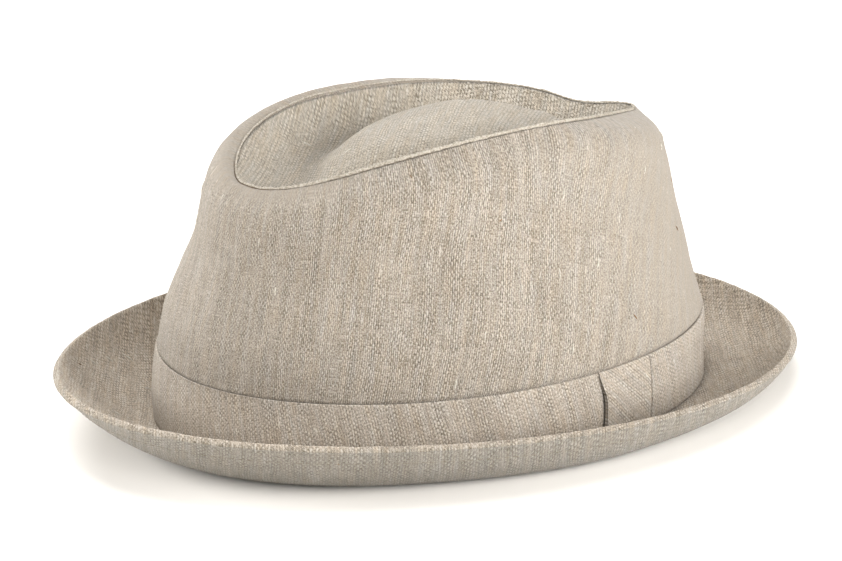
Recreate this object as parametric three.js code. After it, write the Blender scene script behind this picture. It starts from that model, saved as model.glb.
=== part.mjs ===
// A trilby hat of cut and sewn cloth, standing on the flat ring of its brim.
// Millimetres, +Z up, +X towards the narrow pinched end of the crown, -Y the side with the hatband's joint.
import * as THREE from "three";

// Sizes that drive the hat.
const COLUMNS = 72;
const GAP = 0.3;
const WALL_THICKNESS = 2.0;
const TIP_THICKNESS = 1.6;
const BAND_THICKNESS = 1.0;
const BRIM_THICKNESS = 2.4;

// The four ovals seen from above: middle along X, reach to the back and the front, half width,
// how square each end is (2 is an ellipse, less is more pointed) and how much wider the front is.
const ELLIPSE = { backPower: 2, frontPower: 2 };
const HEAD_OVAL = { middle: 2.9, back: 105.2, front: 105.0, side: 82.4, egg: 0.031, ...ELLIPSE };
const TEARDROP = { backPower: 1.88, frontPower: 1.35 };
const RIM_OVAL = { middle: 0.4, back: 79.2, front: 106.8, side: 43.2, egg: 0, ...TEARDROP };
const BRIM_OVAL = { middle: -0.3, back: 141.6, front: 142.2, side: 109.2, egg: 0.068, ...ELLIPSE };

// Height of the rim seam along X.
const RIM_HEIGHT = [
  { along: -79, height: 88.7 },
  { along: -50, height: 97.1 },
  { along: -15, height: 100.6 },
  { along: 20, height: 99.0 },
  { along: 55, height: 93.5 },
  { along: 80, height: 88.1 },
  { along: 105, height: 81.6 },
];
// The far side of the rim dips where the front is pinched.
const PINCH_DIP = { along: 93, spread: 9.5, depth: 2.4 };

// The crown wall from its foot (0) to the rim seam (1): how far each section has moved from the
// head oval to the rim oval, at the back, at the sides and at the front, and how much higher it lies
// than its share of the rim's height. On the far side (+Y) and at the front the wall rolls over just
// before it meets the seam; on the near side and at the back it runs straight up to it.
const WALL_SECTIONS = [
  { rise: 0.0, back: 0.02, side: 0.02, front: -0.02, lift: 0 },
  { rise: 0.14, back: 0.0, side: 0.0, front: 0.0, lift: 0 },
  { rise: 0.28, back: 0.06, side: 0.06, front: 0.0, lift: 0 },
  { rise: 0.42, back: 0.15, side: 0.18, front: 0.13, lift: 0 },
  { rise: 0.56, back: 0.32, side: 0.34, front: 0.24, lift: 0 },
  { rise: 0.7, back: 0.5, side: 0.52, front: 0.36, lift: 0 },
  { rise: 0.84, back: 0.595, side: 0.7, front: 0.46, lift: 0 },
  { rise: 0.93, back: 0.705, side: 0.83, front: 0.56, lift: 1.2 },
  { rise: 0.975, back: 0.88, side: 0.94, front: 0.72, lift: 2.6 },
  { rise: 1.0, back: 1.0, side: 1.0, front: 1.0, lift: 0 },
];
// How much of that roll there is, where it comes in from the near side at the back and at the front,
// and how high the seam lies against the roll: sunk behind it at the side, level with it in front.
const ROLL_SHARE = { back: 1, side: 1, front: 0.7 };
const ROLL_FADE = { back: 0.05, front: -0.3, over: 0.3 };
const SEAM_LIFT = { back: -1.6, side: -1.6, front: 1.8, from: 0.965 };
// Rows of the wall: heights behind the band, then shares of the way from there to the rim.
const WAIST_ROWS = [2.7, 10, 18, 26.1];
const WALL_ROWS = [0, 0.12, 0.26, 0.41, 0.56, 0.7, 0.81, 0.89, 0.935, 0.97, 1];
// The band draws the wall in behind it.
const WAIST = { top: 26.2, ease: 1.2, depth: 1.0 };

// Soft dents of the wall: angle round the crown, rise, how wide and how tall, depth at the middle.
const WALL_DENTS = [
  { angle: -128, rise: 0.7, wide: 13, tall: 0.2, depth: 1.8 },
  { angle: -62, rise: 0.62, wide: 12, tall: 0.22, depth: 1.2 },
  { angle: 118, rise: 0.66, wide: 14, tall: 0.22, depth: 1.6 },
  { angle: 52, rise: 0.74, wide: 12, tall: 0.2, depth: 1.6 },
  { angle: -112, rise: 0.42, wide: 7, tall: 0.16, depth: -0.7 },
];

// The crown tip from the crest of its hump (0) over the groove round it to the rim seam (1): how deep
// each section lies under a smooth step from crest to rim, at the back, at the sides and at the front.
const TIP_CREST = { along: 17, height: 100.2, stepFrom: 0.45 };
const TIP_SECTIONS = [
  { out: -0.22, back: 2.5, side: 2.2, front: 4.2 },
  { out: 0.0, back: 0.0, side: 0.0, front: 0.0 },
  { out: 0.22, back: 2.5, side: 2.2, front: 4.2 },
  { out: 0.45, back: 6.6, side: 6.4, front: 11.0 },
  { out: 0.67, back: 14.6, side: 15.2, front: 15.1 },
  { out: 0.82, back: 10.4, side: 12.8, front: 8.6 },
  { out: 0.93, back: 4.2, side: 5.8, front: 3.0 },
  { out: 1.0, back: 0.0, side: 0.0, front: 0.0 },
];
const TIP_ROWS = [1, 0.965, 0.92, 0.86, 0.77, 0.68, 0.57, 0.45, 0.32, 0.2, 0.09];

// The hatband goes round the foot of the wall; a tab sewn to its one end finishes the joint.
const BAND_HEIGHT = 22.7;
const BAND_END_RISE = 0.5;
const BAND_SEAM_ANGLE = -77.5;
const SEAM_WIDTH = 0.25;
const BAND_ROWS = [0, 0.25, 0.5, 0.75, 1];
// The band's other end and the tab's free edge lean back above this share of the band's height, and
// between them a slit gapes towards the foot, where the tab stands off the wall.
const SLIT = {
  bandEnd: -91.6,
  bandLean: 0.4,
  tabEnd: -91.15,
  tabLean: 0.6,
  leanFrom: 0.6,
  flare: 1.2,
  flareLength: 7,
};

// The brim: a flat ring to stand on, then a curl up to the edge, which is highest at the back.
const FLAT_RING = { back: 0.5, side: 4, front: 4.6 };
const EDGE_HEIGHT = { sides: 17.3, slope: -5.8, bow: 1.4, length: 140 };
const BRIM_CURL = [
  { out: 0.0, back: 0.0, side: 0.0, front: 0.0 },
  { out: 0.2, back: 0.07, side: 0.021, front: 0.004 },
  { out: 0.4, back: 0.22, side: 0.111, front: 0.04 },
  { out: 0.6, back: 0.425, side: 0.293, front: 0.167 },
  { out: 0.8, back: 0.685, side: 0.585, front: 0.458 },
  { out: 1.0, back: 1.0, side: 1.0, front: 1.0 },
];
const BRIM_ROWS = [0, 0.15, 0.33, 0.5, 0.67, 0.84, 1];

const CLOTH = 0xbeb2a0;
const BRIM_CLOTH = 0xa89c8a;

function mix(a, b, t) {
  return a + (b - a) * t;
}

function ease(t) {
  const s = Math.min(Math.max(t, 0), 1);
  return s * s * (3 - 2 * s);
}

function bell(distance) {
  return Math.exp(-distance * distance);
}

// A smooth curve through one column of a table; its ends keep the slope of their first step.
function curve(table, key, column, at) {
  let i = 0;
  while (i < table.length - 2 && at > table[i + 1][key]) i += 1;
  const low = table[i];
  const high = table[i + 1];
  const before = table[Math.max(i - 1, 0)];
  const after = table[Math.min(i + 2, table.length - 1)];
  const step = high[key] - low[key];
  const t = (at - low[key]) / step;
  const slopeIn = ((high[column] - before[column]) / (high[key] - before[key])) * step;
  const slopeOut = ((after[column] - low[column]) / (after[key] - low[key])) * step;
  const t2 = t * t;
  const t3 = t2 * t;
  return (
    (2 * t3 - 3 * t2 + 1) * low[column] +
    (t3 - 2 * t2 + t) * slopeIn +
    (3 * t2 - 2 * t3) * high[column] +
    (t3 - t2) * slopeOut
  );
}

// Blends what the back, the sides and the front have for an angle round the hat.
function blend(angle, valueOf) {
  const ahead = Math.cos(angle);
  const side = ease((0.72 - Math.abs(ahead)) / 0.72);
  return mix(valueOf(ahead < 0 ? "back" : "front"), valueOf("side"), side);
}

function section(table, key, at, angle) {
  return blend(angle, (end) => curve(table, key, end, at));
}

function onOval(angle, oval) {
  const c = Math.cos(angle);
  const s = Math.sin(angle);
  const reach = c < 0 ? oval.back : oval.front;
  const power = 2 / (c < 0 ? oval.backPower : oval.frontPower);
  const x = Math.sign(c) * reach * Math.abs(c) ** mix(1, power, c * c);
  const y = Math.sign(s) * oval.side * Math.abs(s) ** power * (1 + (oval.egg * x) / 100);
  return { x: x + oval.middle, y };
}

function rimHeight(angle) {
  const { x, y } = onOval(angle, RIM_OVAL);
  const dip = PINCH_DIP.depth * bell((x - PINCH_DIP.along) / PINCH_DIP.spread) * ease(y / 8);
  return curve(RIM_HEIGHT, "along", "height", x) - dip;
}

function rollShare(angle) {
  const from = Math.cos(angle) < 0 ? ROLL_FADE.back : ROLL_FADE.front;
  return blend(angle, (end) => ROLL_SHARE[end]) * ease((Math.sin(angle) - from) / ROLL_FADE.over);
}

// How much higher the wall lies for its roll.
function rollLift(angle, rise) {
  const seam = blend(angle, (end) => SEAM_LIFT[end]);
  const near = ease((rise - SEAM_LIFT.from) / (1 - SEAM_LIFT.from));
  return rollShare(angle) * (curve(WALL_SECTIONS, "rise", "lift", rise) + seam * near);
}

// Height of the seam between wall and tip.
function seamHeight(angle) {
  return rimHeight(angle) + rollLift(angle, 1);
}

function smoothWall(angle, rise) {
  const foot = onOval(angle, HEAD_OVAL);
  const rim = onOval(angle, RIM_OVAL);
  const moved = section(WALL_SECTIONS, "rise", rise, angle);
  const height = rise * rimHeight(angle) + rollLift(angle, rise);
  return new THREE.Vector3(mix(foot.x, rim.x, moved), mix(foot.y, rim.y, moved), height);
}

function outwardNormal(surface, angle, rise) {
  const across = surface(angle + 0.01, rise).sub(surface(angle - 0.01, rise));
  const up = surface(angle, Math.min(rise + 0.01, 1)).sub(surface(angle, rise - 0.01));
  return across.cross(up).normalize();
}

function wallPoint(angle, rise) {
  const point = smoothWall(angle, rise);
  const normal = outwardNormal(smoothWall, angle, rise);
  let depth = WAIST.depth * ease((WAIST.top + WAIST.ease - point.z) / WAIST.ease);
  for (const dent of WALL_DENTS) {
    let turn = THREE.MathUtils.radToDeg(angle) - dent.angle;
    turn -= 360 * Math.round(turn / 360);
    depth += dent.depth * bell(turn / dent.wide) * bell((rise - dent.rise) / dent.tall);
  }
  return point.addScaledVector(normal, -depth);
}

// The inner face lies one thickness in, straight down at the rim so that the tip fits against it.
function innerWall(angle, rise) {
  const inward = outwardNormal(wallPoint, angle, rise).negate();
  const down = new THREE.Vector3(0, 0, -1);
  const way = inward.lerp(down, ease((rise - 0.84) / 0.16));
  return wallPoint(angle, rise).addScaledVector(way, WALL_THICKNESS);
}

function tipPoint(angle, out) {
  const rim = onOval(angle, RIM_OVAL);
  const edge = seamHeight(angle);
  const depth = section(TIP_SECTIONS, "out", out, angle);
  const step = ease((out - TIP_CREST.stepFrom) / (1 - TIP_CREST.stepFrom));
  const x = mix(TIP_CREST.along, rim.x, out);
  return new THREE.Vector3(x, rim.y * out, mix(TIP_CREST.height, edge, step) - depth);
}

function edgeHeight(x) {
  const along = (x - BRIM_OVAL.middle) / EDGE_HEIGHT.length;
  return EDGE_HEIGHT.sides + EDGE_HEIGHT.slope * along + EDGE_HEIGHT.bow * along * along;
}

// The under side of the brim, from the flat ring (0) to its edge (1).
function brimUnder(angle, out) {
  const foot = onOval(angle, HEAD_OVAL);
  const edge = onOval(angle, BRIM_OVAL);
  const away = new THREE.Vector2(edge.x - foot.x, edge.y - foot.y);
  const flat = blend(angle, (end) => FLAT_RING[end]);
  const reach = mix(flat / away.length(), 1, out);
  const lift = section(BRIM_CURL, "out", out, angle) * (edgeHeight(edge.x) - BRIM_THICKNESS / 2);
  return new THREE.Vector3(foot.x + away.x * reach, foot.y + away.y * reach, lift);
}

function brimUpper(angle, out) {
  const across = brimUnder(angle + 0.01, out).sub(brimUnder(angle - 0.01, out));
  const away = brimUnder(angle, Math.min(out + 0.02, 1)).sub(brimUnder(angle, Math.max(out - 0.02, 0)));
  const up = away.cross(across).normalize();
  return brimUnder(angle, out).addScaledVector(up, BRIM_THICKNESS);
}

// Height shares of the wall between which the band runs, at one angle.
function bandRise(angle, share) {
  const foot = BRIM_THICKNESS + GAP;
  const along = Math.cos(angle);
  const top = foot + BAND_HEIGHT + BAND_END_RISE * along * along;
  return mix(foot, top, share) / rimHeight(angle);
}

function bandPoint(angle, share, off) {
  const rise = bandRise(angle, share);
  const level = outwardNormal(wallPoint, angle, rise).setZ(0).normalize();
  return wallPoint(angle, rise).addScaledVector(level, off);
}

function build(name, points, faces, colour) {
  const geometry = new THREE.BufferGeometry().setFromPoints(points);
  geometry.setIndex(faces);
  geometry.computeVertexNormals();
  const mesh = new THREE.Mesh(geometry, new THREE.MeshStandardMaterial({ color: colour, roughness: 0.95 }));
  mesh.name = name;
  return mesh;
}

// Joins two rows of points into a strip of triangles.
function strip(faces, rowA, rowB, count, closed) {
  const last = closed ? count : count - 1;
  for (let j = 0; j < last; j += 1) {
    const k = (j + 1) % count;
    faces.push(rowA + j, rowA + k, rowB + k, rowA + j, rowB + k, rowB + j);
  }
}

// A closed ring: loops of points go round its section and the last joins the first.
function ring(name, loops, colour) {
  const faces = [];
  const count = loops[0].length;
  loops.forEach((loop, i) => {
    strip(faces, i * count, ((i + 1) % loops.length) * count, count, true);
  });
  return build(name, loops.flat(), faces, colour);
}

// A dished sheet: loops from the middle of one face over its edge to the middle of the other.
function sheet(name, top, loops, bottom, colour) {
  const count = loops[0].length;
  const points = [top, ...loops.flat(), bottom];
  const faces = [];
  for (let i = 0; i < loops.length - 1; i += 1) {
    strip(faces, 1 + (i + 1) * count, 1 + i * count, count, true);
  }
  for (let j = 0; j < count; j += 1) {
    const k = (j + 1) % count;
    faces.push(0, 1 + j, 1 + k);
    const last = 1 + (loops.length - 1) * count;
    faces.push(points.length - 1, last + k, last + j);
  }
  return build(name, points, faces, colour);
}

// An open strip of cloth: one section of points at each stop along it, capped at both ends.
function ribbon(name, sections, colour) {
  const count = sections[0].length;
  const faces = [];
  for (let i = 0; i < sections.length - 1; i += 1) {
    strip(faces, (i + 1) * count, i * count, count, true);
  }
  const last = (sections.length - 1) * count;
  for (let j = 0; j < count / 2 - 1; j += 1) {
    const a = j;
    const b = j + 1;
    const c = count - 2 - j;
    const d = count - 1 - j;
    faces.push(a, b, c, a, c, d);
    faces.push(last + a, last + c, last + b, last + a, last + d, last + c);
  }
  return build(name, sections.flat(), faces, colour);
}

const ANGLES = Array.from({ length: COLUMNS }, (_, j) => (j / COLUMNS) * 2 * Math.PI);

function loopOf(surface, at) {
  return ANGLES.map((angle) => surface(angle, at));
}

function crownWall() {
  const upper = WAIST.top + WAIST.ease;
  const atHeight = (surface) => (angle, height) => surface(angle, height / rimHeight(angle));
  const atShare = (surface) => (angle, share) => surface(angle, mix(upper / rimHeight(angle), 1, share));
  const rowsOf = (surface) => [
    ...WAIST_ROWS.map((height) => loopOf(atHeight(surface), height)),
    ...WALL_ROWS.map((share) => loopOf(atShare(surface), share)),
  ];
  const inner = rowsOf(innerWall);
  inner[0].forEach((point) => point.setZ(BRIM_THICKNESS + GAP));
  return ring("crown_wall", [...rowsOf(wallPoint), ...inner.reverse()], CLOTH);
}

function crownTip() {
  const inset = (angle, out) => {
    const rim = onOval(angle, RIM_OVAL);
    const width = Math.hypot(rim.x - TIP_CREST.along, rim.y);
    return tipPoint(angle, out * (1 - (GAP * 1.5) / width));
  };
  const thickness = (angle, out) => {
    const step = inset(angle, Math.min(out + 0.02, 1)).sub(inset(angle, out - 0.02));
    const slope = step.length() / Math.hypot(step.x, step.y);
    return TIP_THICKNESS * Math.min(slope, 1.7);
  };
  const under = (angle, out) => inset(angle, out).add(new THREE.Vector3(0, 0, -thickness(angle, out)));
  const crest = tipPoint(0, 0);
  const upper = TIP_ROWS.map((out) => loopOf(inset, out)).reverse();
  const lower = TIP_ROWS.map((out) => loopOf(under, out));
  const below = crest.clone().add(new THREE.Vector3(0, 0, -TIP_THICKNESS));
  return sheet("crown_tip", crest, [...upper, ...lower], below, CLOTH);
}

function brim() {
  const outline = loopOf((angle) => {
    const edge = innerWall(angle, 0);
    return new THREE.Vector3(edge.x, edge.y, 0);
  });
  const top = outline.map((point) => point.clone().setZ(BRIM_THICKNESS));
  const under = BRIM_ROWS.map((out) => loopOf(brimUnder, out));
  const upper = BRIM_ROWS.map((out) => loopOf(brimUpper, out));
  const edge = ANGLES.map((angle, j) => {
    const middle = under[under.length - 1][j].clone().lerp(upper[upper.length - 1][j], 0.5);
    const outward = onOval(angle, BRIM_OVAL);
    return middle.add(new THREE.Vector3(outward.x, outward.y, 0).setLength(0.8));
  });
  return ring("brim", [outline, ...under, edge, ...upper.reverse(), top], BRIM_CLOTH);
}

// How far an end of the slit leans back at a share of the band's height.
function lean(share) {
  return ease((share - SLIT.leanFrom) / (1 - SLIT.leanFrom));
}

// A strip along the wall's foot. Where it starts and ends, and how far off the wall it lies, may
// change with its height.
function bandStrip(name, from, to, off) {
  const stops = Math.max(Math.round(Math.abs(to(0) - from(0)) / 5), 5);
  const sections = [];
  for (let i = 0; i <= stops; i += 1) {
    const face = (thickness) =>
      BAND_ROWS.map((share) => {
        const degrees = mix(from(share), to(share), i / stops);
        return bandPoint(THREE.MathUtils.degToRad(degrees), share, off(degrees, share) + thickness);
      });
    sections.push([...face(BAND_THICKNESS), ...face(0).reverse()]);
  }
  return ribbon(name, sections, CLOTH);
}

function hatBand() {
  const start = () => BAND_SEAM_ANGLE + SEAM_WIDTH;
  const end = (share) => 360 + SLIT.bandEnd - SLIT.bandLean * lean(share);
  return bandStrip("hat_band", start, end, () => GAP);
}

function bandTab() {
  const freeEdge = (share) => SLIT.tabEnd - SLIT.tabLean * lean(share);
  const flare = (degrees, share) => {
    const along = ease((SLIT.tabEnd + SLIT.flareLength - degrees) / SLIT.flareLength);
    return GAP + SLIT.flare * along * (1 - lean(share));
  };
  return bandStrip("band_tab", freeEdge, () => BAND_SEAM_ANGLE, flare);
}

const trilby = new THREE.Group();
trilby.name = "trilby";
trilby.add(crownWall(), crownTip(), brim(), hatBand(), bandTab());

export default trilby;
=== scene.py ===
# %% [markdown]
# # A linen trilby
# A trilby is a small felt or cloth hat: a crown with a groove round its top, a narrow brim that
# turns up, and a band round the foot of the crown. This one is cut and sewn from a natural linen.
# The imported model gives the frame: every piece made here stands where its solid stands.

import math

import bmesh
import bpy
import numpy as np
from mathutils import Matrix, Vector, noise


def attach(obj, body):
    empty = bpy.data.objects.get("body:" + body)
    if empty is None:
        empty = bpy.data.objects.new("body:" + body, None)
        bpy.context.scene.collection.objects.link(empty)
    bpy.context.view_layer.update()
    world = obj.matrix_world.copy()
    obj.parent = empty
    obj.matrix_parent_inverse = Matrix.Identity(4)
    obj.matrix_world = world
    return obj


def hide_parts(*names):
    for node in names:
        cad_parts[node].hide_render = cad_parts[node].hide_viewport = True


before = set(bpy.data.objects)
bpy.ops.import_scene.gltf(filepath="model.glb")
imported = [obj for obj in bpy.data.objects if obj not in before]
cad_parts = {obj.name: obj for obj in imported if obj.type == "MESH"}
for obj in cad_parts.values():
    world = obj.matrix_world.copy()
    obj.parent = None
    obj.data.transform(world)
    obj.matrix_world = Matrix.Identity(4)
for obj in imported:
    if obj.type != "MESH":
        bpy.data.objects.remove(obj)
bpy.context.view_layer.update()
MM = 0.001

# %% [markdown]
# ## The camera
# The picture looks at the hat from its back left quarter, a little from above and from far away,
# as a catalogue picture does. A long lens keeps the ovals of the brim and the crown calm. The
# focal length is worked out in picture widths, so that the object fills the same share of it.

# %% Camera
PICTURE_WIDTH = 842
FOCAL_PIXELS = 4116
SENSOR_WIDTH_MM = 36
VIEW_TURN = math.radians(46)
VIEW_RISE = math.radians(17)
VIEW_DISTANCE = 1.4
LOOK_AT = Vector((-0.001, 0, 0.0404))


def way_from_hat(turn, rise):
    """A direction that is turned from the hat's near side towards its back, and raised; in radians."""
    level = math.cos(rise)
    return Vector((-math.sin(turn) * level, -math.cos(turn) * level, math.sin(rise)))


to_camera = way_from_hat(VIEW_TURN, VIEW_RISE)
camera_data = bpy.data.cameras.new("camera")
camera_data.sensor_width = SENSOR_WIDTH_MM
camera_data.lens = FOCAL_PIXELS * SENSOR_WIDTH_MM / PICTURE_WIDTH
camera = bpy.data.objects.new("camera", camera_data)
camera.location = LOOK_AT + to_camera * VIEW_DISTANCE
camera.rotation_euler = to_camera.to_track_quat("Z", "Y").to_euler()
bpy.context.scene.collection.objects.link(camera)
bpy.context.scene.camera = camera
print(f"lens {camera_data.lens:.1f} mm at {VIEW_DISTANCE} m")

# %% [markdown]
# ## Colours and nodes
# Colours are written as sRGB hex values, as a colour picker shows them, and one function turns
# them to the linear values that the shader works with. A second function adds one node, sets it
# up and links it, for shader trees and Geometry Nodes trees alike.

# %% Helpers for colours and nodes
def linear(hex_colour):
    channels = [int(hex_colour[i:i + 2], 16) / 255 for i in (1, 3, 5)]
    return [c / 12.92 if c <= 0.04045 else ((c + 0.055) / 1.055) ** 2.4 for c in channels] + [1.0]


def add(tree, kind, inputs=(), out=0, **settings):
    """Adds a node, sets its properties and fills its inputs; gives back one of its outputs."""
    node = tree.nodes.new(kind)
    for key, value in settings.items():
        setattr(node, key, value)
    pairs = inputs.items() if isinstance(inputs, dict) else enumerate(inputs)
    for key, value in pairs:
        if isinstance(value, bpy.types.NodeSocket):
            tree.links.new(value, node.inputs[key])
        elif value is not None:
            node.inputs[key].default_value = value
    return node.outputs[out] if len(node.outputs) else node


print("a middle grey, #808080, is", round(linear("#808080")[0], 3), "in linear light")

# %% [markdown]
# ## The floor and the light
# A white sweep fills the picture, so the floor is a plain matt white plane, lit until it is nearly
# pure white. Large soft panels stand round the hat, as in a product studio. The two strongest stand
# low on the right and on the left. Weaker ones farther round, behind, in front and above fill in
# between them, and leave a soft shadow under the brim. The middle of the crown stays a little
# darker than its two sides. The standard view transform keeps the cloth's colours as written.

# %% The floor
FLOOR_SIDE = 8.0
PAPER_WHITE = "#fcf9f4"

half = FLOOR_SIDE / 2
floor_corners = [(-half, -half, 0), (half, -half, 0), (half, half, 0), (-half, half, 0)]
floor_mesh = bpy.data.meshes.new("floor")
floor_mesh.from_pydata(floor_corners, [], [(0, 1, 2, 3)])
floor = bpy.data.objects.new("floor", floor_mesh)
bpy.context.scene.collection.objects.link(floor)

# Uncoated paper scatters light evenly, so it is rough and hardly mirrors anything.
paper = bpy.data.materials.new("matt_white_paper")
paper.use_nodes = True
paper_shader = paper.node_tree.nodes["Principled BSDF"]
paper_shader.inputs["Base Color"].default_value = linear(PAPER_WHITE)
paper_shader.inputs["Roughness"].default_value = 0.95
paper_shader.inputs["Specular IOR Level"].default_value = 0.1
floor_mesh.materials.append(paper)
print(f"the floor is {FLOOR_SIDE} m square")

# %% Sky and panels
SKY_STRENGTH = 0.12
PANEL_DISTANCE = 1.6
PANEL_SIZE = 0.9
PANELS = {
    "name": ["right_low", "right_side", "left_side", "left_behind", "front", "top"],
    "turn": [60, 85, -85, -150, 0, 0],
    "rise": [16, 20, 20, 45, 28, 82],
    "watts": [28.0, 10.5, 25.5, 19.0, 11.0, 12.5],
}

sky = bpy.data.worlds.new("light_tent")
sky.use_nodes = True
sky.node_tree.nodes["Background"].inputs["Color"].default_value = linear("#ffffff")
sky.node_tree.nodes["Background"].inputs["Strength"].default_value = SKY_STRENGTH
bpy.context.scene.world = sky
bpy.context.scene.view_settings.view_transform = "Standard"
bpy.context.scene.view_settings.look = "None"

for name, turn, rise, watts in zip(*PANELS.values()):
    way = way_from_hat(VIEW_TURN - math.radians(turn), math.radians(rise))
    panel_data = bpy.data.lights.new(name, "AREA")
    panel_data.shape = "DISK"
    panel_data.size = PANEL_SIZE
    panel_data.energy = watts
    panel = bpy.data.objects.new(name, panel_data)
    panel.location = LOOK_AT + way * PANEL_DISTANCE
    panel.rotation_euler = way.to_track_quat("Z", "Y").to_euler()
    bpy.context.scene.collection.objects.link(panel)
    print(f"{name}: {watts} W at {PANEL_DISTANCE} m")

# %% [markdown]
# ## The rules of the shape
# A cloth hat has few free lines: the oval of the head, the oval of the rim where the top is sewn
# in, and the oval of the brim's edge. Every surface lies between two of them. Short tables say
# how it goes from one to the other at the back, the sides and the front; a smooth curve through
# each column fills in the rest. The functions take whole arrays, so that one call gives a surface.

# %% Ovals and the rim's height
ELLIPSE = {"back_power": 2, "front_power": 2}
TEARDROP = {"back_power": 1.88, "front_power": 1.35}
HEAD_OVAL = {"middle": 2.9, "back": 105.2, "front": 105.0, "side": 82.4, "egg": 0.031, **ELLIPSE}
RIM_OVAL = {"middle": 0.4, "back": 79.2, "front": 106.8, "side": 43.2, "egg": 0, **TEARDROP}
BRIM_OVAL = {"middle": -0.3, "back": 141.6, "front": 142.2, "side": 109.2, "egg": 0.068, **ELLIPSE}
RIM_HEIGHT = {
    "along": [-79, -50, -15, 20, 55, 80, 105],
    "height": [88.7, 97.1, 100.6, 99.0, 93.5, 88.1, 81.6],
}
PINCH_DIP = {"along": 93, "spread": 9.5, "depth": 2.4, "fade": 8}
SIDE_SPREAD = 0.72
for name, oval in {"head": HEAD_OVAL, "rim": RIM_OVAL, "brim": BRIM_OVAL}.items():
    print(f"{name}: {oval['back'] + oval['front']:.0f} by {2 * oval['side']:.0f} mm")


# %% Curves through the tables
def mix(a, b, t):
    return a + (b - a) * t


def ease(t):
    s = np.clip(t, 0, 1)
    return s * s * (3 - 2 * s)


def bell(distance):
    return np.exp(-distance * distance)


def unit(vectors):
    return vectors / np.linalg.norm(vectors, axis=-1, keepdims=True)


def curve(table, key, column, at):
    """A smooth curve through one column of a table."""
    keys, values = np.array(table[key], float), np.array(table[column], float)
    i = np.clip(np.searchsorted(keys, at) - 1, 0, len(keys) - 2)
    before, after = np.maximum(i - 1, 0), np.minimum(i + 2, len(keys) - 1)
    step = keys[i + 1] - keys[i]
    t = (at - keys[i]) / step
    slope_in = (values[i + 1] - values[before]) / (keys[i + 1] - keys[before]) * step
    slope_out = (values[after] - values[i]) / (keys[after] - keys[i]) * step
    low = (2 * t**3 - 3 * t**2 + 1) * values[i] + (t**3 - 2 * t**2 + t) * slope_in
    return low + (3 * t**2 - 2 * t**3) * values[i + 1] + (t**3 - t**2) * slope_out


def blend(angle, back, side, front):
    """A value for the back, the sides and the front becomes one for every angle."""
    ahead = np.cos(angle)
    return mix(np.where(ahead < 0, back, front), side, ease((SIDE_SPREAD - np.abs(ahead)) / SIDE_SPREAD))


def section(table, key, at, angle):
    """What a table of sections says, blended for every angle."""
    return blend(angle, *(curve(table, key, end, at) for end in ("back", "side", "front")))


def on_oval(angle, oval):
    """A place on an oval; its egg is the share by which 100 mm forwards make it wider."""
    c, s = np.cos(angle), np.sin(angle)
    reach = np.where(c < 0, oval["back"], oval["front"])
    power = 2 / np.where(c < 0, oval["back_power"], oval["front_power"])
    x = np.sign(c) * reach * np.abs(c) ** mix(1, power, c * c)
    y = np.sign(s) * oval["side"] * np.abs(s) ** power * (1 + oval["egg"] * x / 100)
    return x + oval["middle"], y


def rim_height(angle):
    x, y = on_oval(angle, RIM_OVAL)
    dip = PINCH_DIP["depth"] * bell((x - PINCH_DIP["along"]) / PINCH_DIP["spread"])
    return curve(RIM_HEIGHT, "along", "height", x) - dip * ease(y / PINCH_DIP["fade"])


head_places = np.stack(on_oval(np.radians(np.arange(361)), HEAD_OVAL), axis=-1)
girth = np.linalg.norm(np.diff(head_places, axis=0), axis=1).sum()
print(f"the crown's foot is {girth / 10:.1f} cm round")

# %% [markdown]
# ## Cloth as a mesh
# Each piece of cloth becomes a mesh of rows and columns. Its weave has to lie in the cloth and
# not in space, so every corner of every face gets a place in the flat cut, in millimetres, as a
# UV map called cloth_mm. A thread that runs along the cut then runs along the piece as well.

# %% A mesh from rows and columns
def cloth_mesh(name, points, flat, wrap_columns=True, wrap_rows=False, flip=False):
    """points is rows by columns of places; flat has a row or column more where the mesh wraps."""
    rows, columns = points.shape[:2]
    row = np.arange(rows if wrap_rows else rows - 1)
    column = np.arange(columns if wrap_columns else columns - 1)
    i, j = (grid.ravel() for grid in np.meshgrid(row, column, indexing="ij"))
    corners = [(i, j), (i, j + 1), (i + 1, j + 1), (i + 1, j)]
    if flip:
        corners.reverse()
    faces = np.stack([(a % rows) * columns + b % columns for a, b in corners], axis=1)
    mesh = bpy.data.meshes.new(name)
    mesh.from_pydata((points.reshape(-1, 3) * MM).tolist(), [], faces.tolist())
    uv = mesh.uv_layers.new(name="cloth_mm")
    places = np.stack([flat[a, b] for a, b in corners], axis=1)
    uv.data.foreach_set("uv", places.astype(np.float32).ravel())
    mesh.polygons.foreach_set("use_smooth", np.ones(len(faces), bool))
    mesh.update()
    piece = bpy.data.objects.new(name, mesh)
    bpy.context.scene.collection.objects.link(piece)
    print(f"{name}: {2 * len(faces)} triangles")
    return piece


def with_wrap(values, axis):
    """Repeats the first row or column at the end, where the mesh closes on itself."""
    return np.concatenate([values, np.take(values, [0], axis=axis)], axis=axis)


def lumps(points, size, seed):
    """Uneven cloth: soft noise of a given size in millimetres, one value a point."""
    flat_list = points.reshape(-1, 3) / size + seed
    return np.array([noise.noise(Vector(p)) for p in flat_list]).reshape(points.shape[:-1])


# %% [markdown]
# ## Geometry Nodes as small workshops
# What repeats, or follows a line or a surface, is made by a Geometry Nodes tree: the brim, the
# piping and threads along the seams, the stitches and the stray fibres. A tree takes a guide, which
# is a mesh with only the lines or faces to follow, then named sizes and a finish. Running it
# gives a plain mesh, and the tree and its guide are no longer needed.

# %% Start, end and run a tree
MATH = "ShaderNodeMath"
VECTOR = "ShaderNodeVectorMath"


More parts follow.
